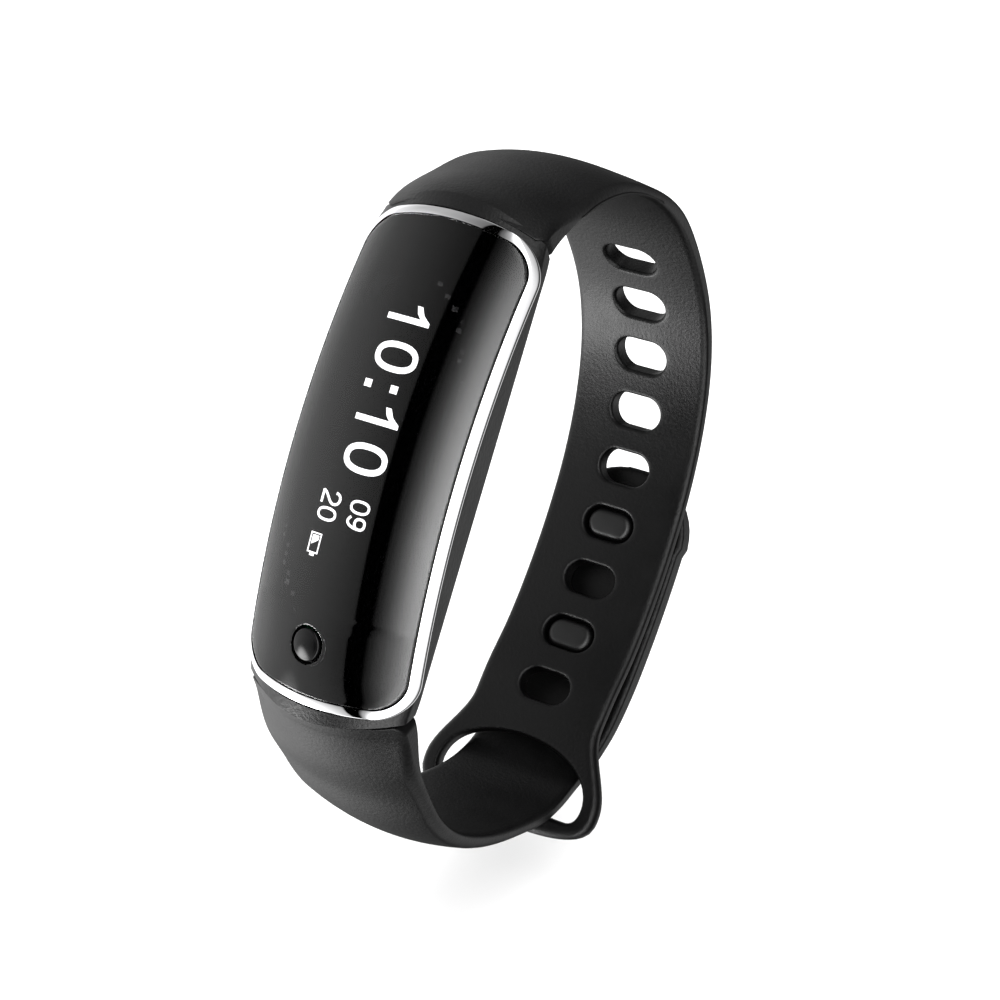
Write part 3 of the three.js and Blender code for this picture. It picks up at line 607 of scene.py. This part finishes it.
def seam_y(z, gap=SEAM_GAP):
    """Where a seam plane lies along the capsule at height z."""
    return SEAM_Y + (z - SEAM_Z) - gap * math.sqrt(2)


def back_z(y):
    return -6.7 - 1.15 * smooth((abs(y) - 17.5) / 4.5)


def housing():
    """Side walls and end collars, hollow below and recessed above for the ring and window."""
    mesh = bmesh.new()
    top_count, side_count, corner = 28, 8, 0.45
    width = HALF_WIDTH - 0.03

    def section():
        """(x, share of the wall's height below its top) round one section."""
        for i in range(top_count + 1):
            yield lerp(-width + 0.1, width - 0.1, i / top_count), 0.0
        for i in range(1, side_count):
            yield width, i / side_count
        for i in range(1, 5):
            angle = math.pi / 2 * i / 4
            yield width - corner * (1 - math.cos(angle)), 1.0
        for i in range(1, top_count):
            yield lerp(width - corner, -width + corner, i / top_count), 1.0
        for i in range(4, 0, -1):
            angle = math.pi / 2 * i / 4
            yield -width + corner * (1 - math.cos(angle)), 1.0
        for i in range(side_count - 1, 0, -1):
            yield -width, i / side_count

    rings = []
    for turn in spaced(-1, 1, 90):
        ring = []
        for x, share in section():
            y = turn * 24.0
            for _ in range(12):
                inset = max(0.0, abs(x) - (width - corner)) / corner
                low = back_z(y) + corner * (1 - math.sqrt(max(0.0, 1 - inset * inset)))
                z = lerp(face_z(x, y), low, share)
                y = turn * seam_y(z)
            taper = smooth((abs(y) - 17.5) / 6) * (1 - ROOT_HALF_WIDTH / width)
            ring.append(mesh.verts.new((x * (1 - taper), y, z)))
        rings.append(ring)
    count = len(rings[0])
    for a, b in zip(rings, rings[1:]):
        for i in range(count):
            j = (i + 1) % count
            mesh.faces.new((a[i], a[j], b[j], b[i]))
    for ring in (rings[0], rings[-1]):
        for i in range(count // 2 - 1):
            j = count - 1 - i
            corners = (ring[i], ring[i + 1], ring[j - 1], ring[j])
            if len(set(corners)) == 4:
                mesh.faces.new(corners)
    bmesh.ops.holes_fill(mesh, edges=[e for e in mesh.edges if e.is_boundary])
    body = finished("capsule_housing", mesh)
    rim_drop, floor_drop = 0.27, 1.3
    ledge = 0.42  # under the ring, from its outline in
    bowed_corner = RING["corner"] + BOWED_CORNER
    cutters = [
        face_cutter(RING["half_width"] + 0.05, RING["half_length"] + 0.06, bowed_corner, rim_drop),
        face_cutter(RING["half_width"] - ledge, RING["half_length"] - ledge, RING["corner"], floor_drop),
        prism_cutter(*BACK_OPENING),
        prism_cutter(*CAVITY),
    ]
    carve(body, cutters)
    body.data.transform(capsule_matrix())
    return body


def capsule_matrix():
    move = Matrix.Translation(Vector(CAPSULE_AT))
    return Matrix.Diagonal((MM, MM, MM, 1)) @ TILT.to_4x4() @ move


def face_outline(half_width, half_length, corner, corner_steps=14, side_steps=24, end_steps=12):
    """[(x, y, outward x, outward y)] anticlockwise round a face outline with bowed ends."""
    cx, cy = half_width - corner, half_length - corner
    made = []
    for quarter, (sx, sy) in enumerate(((1, 1), (-1, 1), (-1, -1), (1, -1))):
        for i in range(corner_steps + 1):
            angle = math.pi / 2 * (quarter + i / corner_steps)
            made.append((sx * cx + corner * math.cos(angle), sy * cy + corner * math.sin(angle),
                         math.cos(angle), math.sin(angle)))
        steps = end_steps if quarter % 2 == 0 else side_steps
        angle = math.pi / 2 * (quarter + 1)
        nx, ny = math.cos(angle), math.sin(angle)
        nxt = ((-1, 1), (-1, -1), (1, -1), (1, 1))[quarter]
        for i in range(1, steps):
            x = lerp(sx, nxt[0], i / steps) * cx + corner * nx
            y = lerp(sy, nxt[1], i / steps) * cy + corner * ny
            made.append((x, y, nx, ny))
    return made


def face_cutter(half_width, half_length, corner, drop, above=4.0):
    """A solid from the face, lowered by drop, up to the height above, within an outline."""
    mesh = bmesh.new()
    columns, rows = 40, 72
    grid = []
    for v in spaced(-1, 1, rows):
        row = []
        for u in spaced(-1, 1, columns):
            x = half_width * math.sin(u * math.pi / 2)
            y = bowed(x, v * half_length_at(x, half_width, half_length, corner))
            row.append((mesh.verts.new((x, y, face_z(x, y) - drop)), mesh.verts.new((x, y, above))))
        grid.append(row)
    for a, b in zip(grid, grid[1:]):
        for i in range(columns):
            mesh.faces.new((a[i][1], a[i + 1][1], b[i + 1][1], b[i][1]))
            mesh.faces.new((a[i + 1][0], a[i][0], b[i][0], b[i + 1][0]))
        mesh.faces.new((a[0][0], a[0][1], b[0][1], b[0][0]))
        mesh.faces.new((a[-1][1], a[-1][0], b[-1][0], b[-1][1]))
    for i in range(columns):
        first, last = grid[0], grid[-1]
        mesh.faces.new((first[i][0], first[i + 1][0], first[i + 1][1], first[i][1]))
        mesh.faces.new((last[i + 1][0], last[i][0], last[i][1], last[i + 1][1]))
    return finished("cutter", mesh)


def prism_cutter(half_x, half_y, corner, low, high, steps=8):
    mesh = bmesh.new()
    loop = []
    for quarter, (sx, sy) in enumerate(((1, 1), (-1, 1), (-1, -1), (1, -1))):
        for i in range(steps + 1):
            angle = math.pi / 2 * (quarter + i / steps)
            loop.append((sx * (half_x - corner) + corner * math.cos(angle),
                         sy * (half_y - corner) + corner * math.sin(angle)))
    under = [mesh.verts.new((x, y, low)) for x, y in loop]
    over = [mesh.verts.new((x, y, high)) for x, y in loop]
    mesh.faces.new(over)
    mesh.faces.new(list(reversed(under)))
    for i in range(len(loop)):
        j = (i + 1) % len(loop)
        mesh.faces.new((under[i], under[j], over[j], over[i]))
    return finished("cutter", mesh)


def carve(body, cutters):
    for cutter in cutters:
        modifier = body.modifiers.new("cut", "BOOLEAN")
        modifier.operation = "DIFFERENCE"
        modifier.solver = "EXACT"
        modifier.object = cutter
    settle(body)
    for cutter in cutters:
        bpy.data.objects.remove(cutter)


def settle(piece, sharp_degrees=32):
    """Applies a piece's modifiers and marks its sharp edges."""
    graph = bpy.context.evaluated_depsgraph_get()
    data = bpy.data.meshes.new_from_object(piece.evaluated_get(graph))
    piece.modifiers.clear()
    piece.data = data
    data.shade_smooth()
    data.set_sharp_from_angle(angle=math.radians(sharp_degrees))


def bevel_ring():
    """Bright ring swept round the face's outline, standing a hair proud of the window."""
    width, foot = RING["width"], 0.46
    profile = [
        (0.0, -0.25), (0.0, -0.15), (0.03, -0.1), (0.1, -0.06), (0.79, 0.055), (0.84, 0.045), (width, 0.0),
        (width, -0.75), (foot, -0.75), (foot, -0.25),
    ]
    outline = face_outline(RING["half_width"], RING["half_length"], RING["corner"] + BOWED_CORNER)
    mesh = bmesh.new()
    rings = []
    for x, y, nx, ny in outline:
        ring = []
        for inset, rise in profile:
            px = x - nx * inset
            py = bowed(px, y - ny * inset)
            ring.append(mesh.verts.new(in_capsule(px, py, face_z(px, py) + rise)))
        rings.append(ring)
    size = len(profile)
    for a, b in zip(rings, rings[1:] + rings[:1]):
        for i in range(size):
            j = (i + 1) % size
            mesh.faces.new((a[i], a[j], b[j], b[i]))
    ring = finished("bevel_ring", mesh)
    ring.data.set_sharp_from_angle(angle=math.radians(50))
    return ring


def face_plan(half_width, half_length, corner, hole_radius, rim):
    """The face's outline with a round hole for the key, both one rim inside their edges."""
    plan = Plan()
    columns, split = 24, -14.4
    half_width, half_length, corner = half_width - rim, half_length - rim, corner - rim
    xs = [half_width * math.sin(u * math.pi / 2) for u in spaced(-1, 1, columns)]

    def reach(x, side):
        return bowed(x, side * half_length_at(x, half_width, half_length, corner))

    shares = spaced(0, 0.985, 44) + [1]
    plan.grid([[(x, lerp(split, reach(x, 1), v)) for x in xs] for v in shares])
    straight = bowed(half_width, -(half_length - corner)) + 0.01
    side = [(-half_width, y) for y in spaced(split, straight, 10)][:-1]
    finer = (half_width * math.sin(u * math.pi / 2) for u in spaced(-1, 1, 60))
    end = [(x, reach(x, -1)) for x in finer]
    other = [(half_width, y) for _, y in reversed(side)]
    far = 56
    round_end = resampled(side + end + other, far)
    outer = [Vector((x, split)) for x in reversed(xs)][:-1] + round_end[:-1]
    count = len(outer)
    radius = hole_radius + rim
    inner = []
    for i in range(count):
        angle = math.pi / 2 + 2 * math.pi * (i - columns / 2) / count
        inner.append(Vector((KEY["x"] + radius * math.cos(angle), KEY["y"] + radius * math.sin(angle))))
    plan.ring(inner, outer, (0, 0.02, 0.08, 0.2, 0.4, 0.65, 0.88, 0.98, 1))
    return plan


def even_rim(size):
    return lambda x, y, outer: (size, size, size)


def lens_underside(x, y):
    return min(LENS["flat_z"], face_z(x, y) - LENS["thickness"])


def window_glass():
    rim = 0.12
    corner = LENS["corner"] + BOWED_CORNER
    plan = face_plan(LENS["half_width"], LENS["half_length"], corner, KEY["groove"], rim)
    return plan.thicken("window_glass", in_capsule, lens_underside, face_z, even_rim(rim), 3)


def window_backing():
    """Black print on the window's underside."""
    rim, inset, above, thickness = 0.02, 0.1, 0.03, 0.06
    half_width, half_length = LENS["half_width"] - inset, LENS["half_length"] - inset
    plan = face_plan(half_width, half_length, LENS["corner"] + 0.3, KEY["groove"] + inset, rim)

    def top(x, y):
        return lens_underside(x, y) + above

    def bottom(x, y):
        return top(x, y) - thickness

    return plan.thicken("window_backing", in_capsule, bottom, top, even_rim(rim), 1)


def touch_key():
    """Low glossy dome that follows the face's slope, with a rounded edge."""
    mesh = bmesh.new()
    count, radius, edge, edge_steps, dome_steps = 64, KEY["radius"], 0.22, 6, 8
    underside, shoulder = -1.0, -0.16
    profile = [(0.0, underside), (radius, underside)]
    for i in range(edge_steps + 1):
        angle = math.pi / 2 * i / edge_steps
        h = shoulder - edge * (1 - math.sin(angle)) + edge
        profile.append((radius - edge * (1 - math.cos(angle)), h))
    base = profile[-1]
    for i in range(1, dome_steps + 1):
        r = base[0] * (1 - i / dome_steps)
        profile.append((r, base[1] + KEY["rise"] * (1 - (r / base[0]) ** 2)))
    rings = []
    for r, h in profile:
        if r < 1e-6:
            rings.append([mesh.verts.new(in_capsule(KEY["x"], KEY["y"], face_z(KEY["x"], KEY["y"]) + h))])
            continue
        ring = []
        for i in range(count):
            x = KEY["x"] + r * math.cos(2 * math.pi * i / count)
            y = KEY["y"] + r * math.sin(2 * math.pi * i / count)
            ring.append(mesh.verts.new(in_capsule(x, y, face_z(x, y) + h)))
        rings.append(ring)
    for a, b in zip(rings, rings[1:]):
        for i in range(count):
            j = (i + 1) % count
            corners = [a[i % len(a)], a[j % len(a)], b[j % len(b)], b[i % len(b)]]
            mesh.faces.new(list(dict.fromkeys(corners)))
    return finished("touch_key", mesh)


# ---- Display ----
def flat_shape(mesh, outline, low, high, hole=None):
    """Adds a thin solid from an outline in display units (right, up) as the wearer reads it."""
    def lift(points, z):
        return [mesh.verts.new(in_capsule(DISPLAY["x"] + v, DISPLAY["y"] - u, z)) for u, v in points]
    over, under = lift(outline, high), lift(outline, low)
    count = len(outline)
    for i in range(count):
        j = (i + 1) % count
        mesh.faces.new((under[i], under[j], over[j], over[i]))
    if hole is None:
        mesh.faces.new(over)
        mesh.faces.new(list(reversed(under)))
        return
    hole_over, hole_under = lift(hole, high), lift(hole, low)
    for i in range(count):
        j = (i + 1) % count
        mesh.faces.new((hole_under[j], hole_under[i], hole_over[i], hole_over[j]))
        mesh.faces.new((over[i], over[j], hole_over[j], hole_over[i]))
        mesh.faces.new((under[j], under[i], hole_under[i], hole_under[j]))


def oval(cu, cv, ru, rv, count=48, power=2.35):
    made = []
    for i in range(count):
        a = 2 * math.pi * i / count
        c, s = math.cos(a), math.sin(a)
        made.append((cu + ru * math.copysign(abs(c) ** (2 / power), c),
                     cv + rv * math.copysign(abs(s) ** (2 / power), s)))
    return made


def digit_zero(mesh, u, v, height, stroke):
    ru, rv = height * 0.33, height / 2
    flat_shape(mesh, oval(u, v, ru, rv), GLYPH_LOW, GLYPH_HIGH, oval(u, v, ru - stroke, rv - stroke * 0.95))


def digit_one(mesh, u, v, height, stroke):
    top, low = v + height / 2, v - height / 2
    right = u + stroke * 0.75
    left = right - stroke
    flag = height * 0.27
    outline = [
        (right, low),
        (right, top),
        (left + stroke * 0.3, top),
        (left - flag * 0.35, top - flag * 0.62),
        (left - flag, top - flag * 0.95),
        (left - flag, top - flag * 0.95 - stroke * 0.95),
        (left - flag * 0.4, top - flag * 0.75 - stroke * 0.95),
        (left, top - flag * 0.4 - stroke * 0.95),
        (left, low),
    ]
    flat_shape(mesh, outline, GLYPH_LOW, GLYPH_HIGH)


def stroke_path(mesh, points, stroke):
    points = [Vector(p) for p in points]
    right, left = offset(points, stroke / 2), offset(points, -stroke / 2)
    for a, b, c, d in zip(right, right[1:], left[1:], left):
        flat_shape(mesh, [tuple(a), tuple(b), tuple(c), tuple(d)], GLYPH_LOW, GLYPH_HIGH)


def digit_two(mesh, u, v, height, stroke):
    h, w = height / 2, height * 0.27
    start, side = (u - w, v + h * 0.45), (u + w, v + h * 0.35)
    foot = v - h + stroke / 2
    arc = bezier(start, (u - w, v + h * 1.15), (u + w * 1.1, v + h * 1.15), side, 12)
    arc += bezier(side, (u + w * 0.9, v - h * 0.1), (u - w * 0.8, v - h * 0.4), (u - w * 1.05, foot), 10)[1:]
    stroke_path(mesh, arc, stroke)
    stroke_path(mesh, [(u - w * 1.15, foot), (u + w * 1.15, foot)], stroke)


def digit_nine(mesh, u, v, height, stroke):
    h, w = height / 2, height * 0.3
    flat_shape(mesh, oval(u, v + h * 0.38, w, h * 0.62, 32), GLYPH_LOW, GLYPH_HIGH,
               oval(u, v + h * 0.38, w - stroke, h * 0.62 - stroke, 32))
    side = u + w - stroke / 2
    end = (u - w * 0.85, v - h * 0.6)
    tail = bezier((side, v + h * 0.4), (side, v - h * 0.9), (u - w * 0.2, v - h * 1.1), end, 12)
    stroke_path(mesh, tail, stroke)


def box(u, v, half_u, half_v):
    return [
        (u - half_u, v - half_v), (u + half_u, v - half_v), (u + half_u, v + half_v), (u - half_u, v + half_v),
    ]


def dot(mesh, u, v, half):
    flat_shape(mesh, box(u, v, half, half), GLYPH_LOW, GLYPH_HIGH)


def clock_digits():
    """Four digits and a colon, by the place of each one's middle in display units."""
    mesh = bmesh.new()
    height, stroke, v = 4.25, 0.56, 0.9
    colon, half_dot = -4.4, 0.36
    digit_one(mesh, -10.9, v, height, stroke)
    digit_zero(mesh, -7.25, v, height, stroke)
    dot(mesh, colon, v - 1.9, half_dot)
    dot(mesh, colon, v + 0.7, half_dot)
    digit_one(mesh, -1.45, v, height, stroke)
    digit_zero(mesh, 2.2, v, height, stroke)
    return finished("clock_digits", mesh, False)


def date_digits():
    """Two rows of two small digits right of the clock."""
    mesh = bmesh.new()
    height, stroke = 1.95, 0.24
    lower, upper = -1.3, 1.7
    digit_two(mesh, 6.35, lower, height, stroke)
    digit_zero(mesh, 7.85, lower, height, stroke)
    digit_zero(mesh, 6.45, upper, height, stroke)
    digit_nine(mesh, 7.9, upper, height, stroke)
    return finished("date_digits", mesh, False)


def battery_icon():
    mesh = bmesh.new()
    u, v, half_u, half_v = 10.65, -1.75, 0.95, 0.58
    line, clear, nub_length, half_nub = 0.13, 0.24, 0.26, 0.25
    inner = box(u, v, half_u - line, half_v - line)
    flat_shape(mesh, box(u, v, half_u, half_v), GLYPH_LOW, GLYPH_HIGH, inner)
    tip = u + half_u + nub_length
    nub = [(u + half_u, v - half_nub), (tip, v - half_nub), (tip, v + half_nub), (u + half_u, v + half_nub)]
    flat_shape(mesh, nub, GLYPH_LOW, GLYPH_HIGH)
    left, low, high = u - half_u + clear, v - half_v + clear, v + half_v - clear
    flat_shape(mesh, [(left, low), (u + 0.2, low), (u - 0.3, high), (left, high)], GLYPH_LOW, GLYPH_HIGH)
    return finished("battery_icon", mesh, False)


def display_area():
    """Dark rectangle just under the digits."""
    mesh = bmesh.new()
    outline = box(0, 0, DISPLAY["half_length"], DISPLAY["half_width"])
    flat_shape(mesh, outline, GLYPH_LOW - 0.02, GLYPH_LOW - 0.005)
    return finished("display_area", mesh, False)


# ---- Materials ----
def material(name, color, roughness, metallic=0.0, grain=None, variation=0.0, **sockets):
    """Principled material; grain is its bump's (feature size, height) in mm, variation is in roughness."""
    made = bpy.data.materials.new(name)
    made.use_nodes = True
    nodes, links = made.node_tree.nodes, made.node_tree.links
    shader = nodes["Principled BSDF"]
    shader.inputs["Base Color"].default_value = (*color, 1)
    shader.inputs["Roughness"].default_value = roughness
    shader.inputs["Metallic"].default_value = metallic
    for socket, value in sockets.items():
        shader.inputs[socket.replace("_", " ")].default_value = value
    place = nodes.new("ShaderNodeTexCoord")
    if grain:
        size, height = grain
        noise = nodes.new("ShaderNodeTexNoise")
        noise.inputs["Scale"].default_value = 1 / (size * MM)
        noise.inputs["Detail"].default_value = 3
        noise.inputs["Roughness"].default_value = 0.6
        bump = nodes.new("ShaderNodeBump")
        bump.inputs["Strength"].default_value = 0.6
        bump.inputs["Distance"].default_value = height * MM
        links.new(place.outputs["Object"], noise.inputs["Vector"])
        links.new(noise.outputs["Fac"], bump.inputs["Height"])
        links.new(bump.outputs["Normal"], shader.inputs["Normal"])
    if variation:
        cloud = nodes.new("ShaderNodeTexNoise")
        cloud.inputs["Scale"].default_value = 1 / (4 * MM)
        cloud.inputs["Detail"].default_value = 4
        span = nodes.new("ShaderNodeMapRange")
        span.inputs["From Min"].default_value = 0.3
        span.inputs["From Max"].default_value = 0.7
        span.inputs["To Min"].default_value = max(0.0, roughness - variation)
        span.inputs["To Max"].default_value = roughness + variation
        links.new(place.outputs["Object"], cloud.inputs["Vector"])
        links.new(cloud.outputs["Fac"], span.inputs["Value"])
        links.new(span.outputs["Result"], shader.inputs["Roughness"])
    return made


MATERIALS = {
    "silicone": material("silicone", (0.0012, 0.0012, 0.0013), 0.38, grain=(0.34, 0.07), variation=0.04,
                         Specular_IOR_Level=0.25),
    "housing": material("housing", (0.0012, 0.0012, 0.0013), 0.38, grain=(0.34, 0.07), variation=0.04,
                        Specular_IOR_Level=0.4),
    "lens": material("lens", (0.85, 0.85, 0.87), 0.0, grain=(6.0, 0.0008), Transmission_Weight=1.0,
                     IOR=1.5),
    "print": material("print", (0.0008, 0.0008, 0.0009), 0.6, grain=(0.3, 0.002), Specular_IOR_Level=0.0),
    "chrome": material("chrome", (0.93, 0.93, 0.94), 0.03, 1.0, variation=0.012),
    "key": material("key", (0.002, 0.002, 0.0022), 0.16, grain=(1.5, 0.001), Specular_IOR_Level=0.25),
    "peg": material("peg", (0.0015, 0.0015, 0.0016), 0.42, grain=(0.25, 0.004), variation=0.04),
    "panel": material("panel", (0.006, 0.006, 0.0065), 0.5, grain=(0.2, 0.001), Specular_IOR_Level=0.0),
    "glyph": material("glyph", (0.9, 0.9, 0.9), 0.5, grain=(0.2, 0.001), Emission_Color=(1, 1, 1, 1),
                      Emission_Strength=1.3),
    "board": material("board", (0.015, 0.12, 0.05), 0.35, grain=(0.35, 0.01), variation=0.08),
    "chip": material("chip", (0.02, 0.02, 0.021), 0.5, grain=(0.1, 0.008), variation=0.06),
    "shield": material("shield", (0.7, 0.71, 0.72), 0.32, 1.0, grain=(0.4, 0.003), variation=0.06),
    "battery": material("battery", (0.62, 0.64, 0.66), 0.35, 0.7, grain=(0.8, 0.02), variation=0.08),
    "foam": material("foam", (0.03, 0.03, 0.03), 0.95, grain=(0.12, 0.06)),
    "flex": material("flex", (0.55, 0.28, 0.06), 0.4, grain=(0.5, 0.004), variation=0.05),
    "steel": material("steel", (0.62, 0.63, 0.65), 0.28, 1.0, grain=(0.2, 0.002), variation=0.06),
    "gold": material("gold", (0.83, 0.6, 0.22), 0.22, 1.0, grain=(0.3, 0.002), variation=0.05),
    "gasket": material("gasket", (0.05, 0.05, 0.055), 0.7, grain=(0.15, 0.01), variation=0.05),
    "diffuser": material("diffuser", (0.7, 0.85, 0.7), 0.3, grain=(0.2, 0.004), variation=0.04),
}


# ---- Pieces on their bodies ----
def install(piece, finish, body, slot, *nodes):
    piece.data.materials.clear()
    piece.data.materials.append(MATERIALS[finish])
    if nodes:
        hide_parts(*nodes)
    if body:
        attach(piece, body)
    return piece


SLOTS = {part["node"]: part["material_slot"] for part in frame["record"]["subparts"]}
for node, obj in frame["nodes"].items():
    obj.data.materials.clear()
    obj.data.materials.append(MATERIALS[SLOTS[node]])
    edge = obj.modifiers.new("edge", "BEVEL")
    edge.width = EDGE * MM
    edge.segments = 2
    edge.limit_method = "ANGLE"
    edge.harden_normals = True

install(holed_strap(), "silicone", "band", "silicone", "hole_strap")
strap = install(pegged_strap(), "silicone", None, "silicone", "lower_strap", "strap_tail")
bend = PEGGED.place(0, HINGE, 0)
direction = (PEGGED.place(0, HINGE + 1, 0) - PEGGED.place(0, HINGE - 1, 0)).normalized()
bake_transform(strap)
install(pegs(), "peg", "tail", "peg", "clasp_pegs")
install(housing(), "housing", "band", "housing", "mid_housing")
install(bevel_ring(), "chrome", "band", "chrome", "bezel_ring")
install(window_glass(), "lens", "band", "lens", "lens")
install(window_backing(), "print", "band", "panel")
install(display_area(), "panel", "band", "panel")
for glyphs in (clock_digits(), date_digits(), battery_icon()):
    install(glyphs, "glyph", "band", "panel").visible_glossy = False
install(touch_key(), "key", "key", "key", "key_cap")

# ---- Floor, light and camera ----
FLOOR_Z = CAD_BOX[0][2] - FLOOR_DROP * MM


def floor():
    mesh = bmesh.new()
    squares = 24
    places = spaced(-1, 1, squares)
    verts = [[mesh.verts.new((x * FLOOR_HALF, y * FLOOR_HALF, FLOOR_Z)) for x in places] for y in places]
    for a, b in zip(verts, verts[1:]):
        for i in range(squares):
            mesh.faces.new((a[i], a[i + 1], b[i + 1], b[i]))
    piece = finished("floor", mesh)
    piece.data.materials.append(material("floor", (0.86, 0.86, 0.86), 0.7))
    piece.visible_glossy = False


def studio():
    """Pale room whose reflections vary across the band, more softly along it, with one bright panel."""
    world = bpy.data.worlds.new("studio")
    bpy.context.scene.world = world
    world.use_nodes = True
    nodes, links = world.node_tree.nodes, world.node_tree.links
    place = nodes.new("ShaderNodeTexCoord")
    across, lengthwise, outward = Vector((1, 0, 0)), TILT @ Vector((0, 1, 0)), -INWARD

    def toward(direction):
        dot = nodes.new("ShaderNodeVectorMath")
        dot.operation = "DOT_PRODUCT"
        dot.inputs[1].default_value = direction
        links.new(place.outputs["Generated"], dot.inputs[0])
        return dot.outputs["Value"]

    def remapped(value, low, high, to_high=1.0, kind="LINEAR"):
        span = nodes.new("ShaderNodeMapRange")
        span.interpolation_type = kind
        span.inputs["From Min"].default_value = low
        span.inputs["From Max"].default_value = high
        span.inputs["To Max"].default_value = to_high
        links.new(value, span.inputs["Value"])
        return span.outputs["Result"]

    def levels(value, stops, brightest, low, high):
        ramp = nodes.new("ShaderNodeValToRGB")
        elements = ramp.color_ramp.elements
        while len(elements) > 1:
            elements.remove(elements[-1])
        for index, (at, level) in enumerate(stops):
            position = (at - low) / (high - low)
            element = elements[0] if index == 0 else elements.new(position)
            element.position = position
            element.color = (level / brightest, level / brightest, level / brightest, 1)
        links.new(value, ramp.inputs["Fac"])
        return ramp.outputs["Color"]

    def combined(operation, first, second):
        made = nodes.new("ShaderNodeVectorMath")
        made.operation = operation
        links.new(first, made.inputs[0])
        if isinstance(second, float):
            made.inputs["Scale"].default_value = second
        else:
            links.new(second, made.inputs[1])
        return made.outputs["Vector"]

    angle = nodes.new("ShaderNodeMath")
    angle.operation = "ARCTAN2"
    links.new(toward(across), angle.inputs[0])
    links.new(toward(outward), angle.inputs[1])
    turn = remapped(angle.outputs["Value"], -math.pi, math.pi)
    around = levels(turn, ACROSS_STOPS, ACROSS_FULL, -180, 180)
    along_it = levels(remapped(toward(lengthwise), -1, 1), ALONG_STOPS, ALONG_FULL, -1, 1)
    lit = LIGHT_PANEL
    aim = lit["across"] * across + lit["along"] * lengthwise + lit["outward"] * outward
    panel = remapped(toward(aim), lit["edge"], lit["full"], lit["level"], "SMOOTHSTEP")
    ramps = combined("SCALE", combined("MULTIPLY", around, along_it), ACROSS_FULL * ALONG_FULL)
    room = combined("ADD", ramps, panel)
    rays = nodes.new("ShaderNodeLightPath")
    mix = nodes.new("ShaderNodeMix")
    mix.data_type = "RGBA"
    mix.inputs["A"].default_value = (ROOM, ROOM, ROOM, 1)
    links.new(rays.outputs["Is Glossy Ray"], mix.inputs["Factor"])
    links.new(room, mix.inputs["B"])
    links.new(mix.outputs["Result"], nodes["Background"].inputs["Color"])


def camera():
    lens = bpy.data.cameras.new("camera")
    lens.lens = CAMERA["lens"]
    lens.sensor_width = CAMERA["sensor"]
    lens.clip_start = CAMERA["near"]
    lens.shift_x = CAMERA["shift_x"]
    view = bpy.data.objects.new("camera", lens)
    view.location = CAMERA["at"]
    view.rotation_mode = "QUATERNION"
    view.rotation_quaternion = Vector(CAMERA["toward"]).to_track_quat("-Z", "Y")
    bpy.context.scene.collection.objects.link(view)
    bpy.context.scene.camera = view


floor()
studio()
camera()
bpy.context.scene.view_settings.view_transform = "Standard"
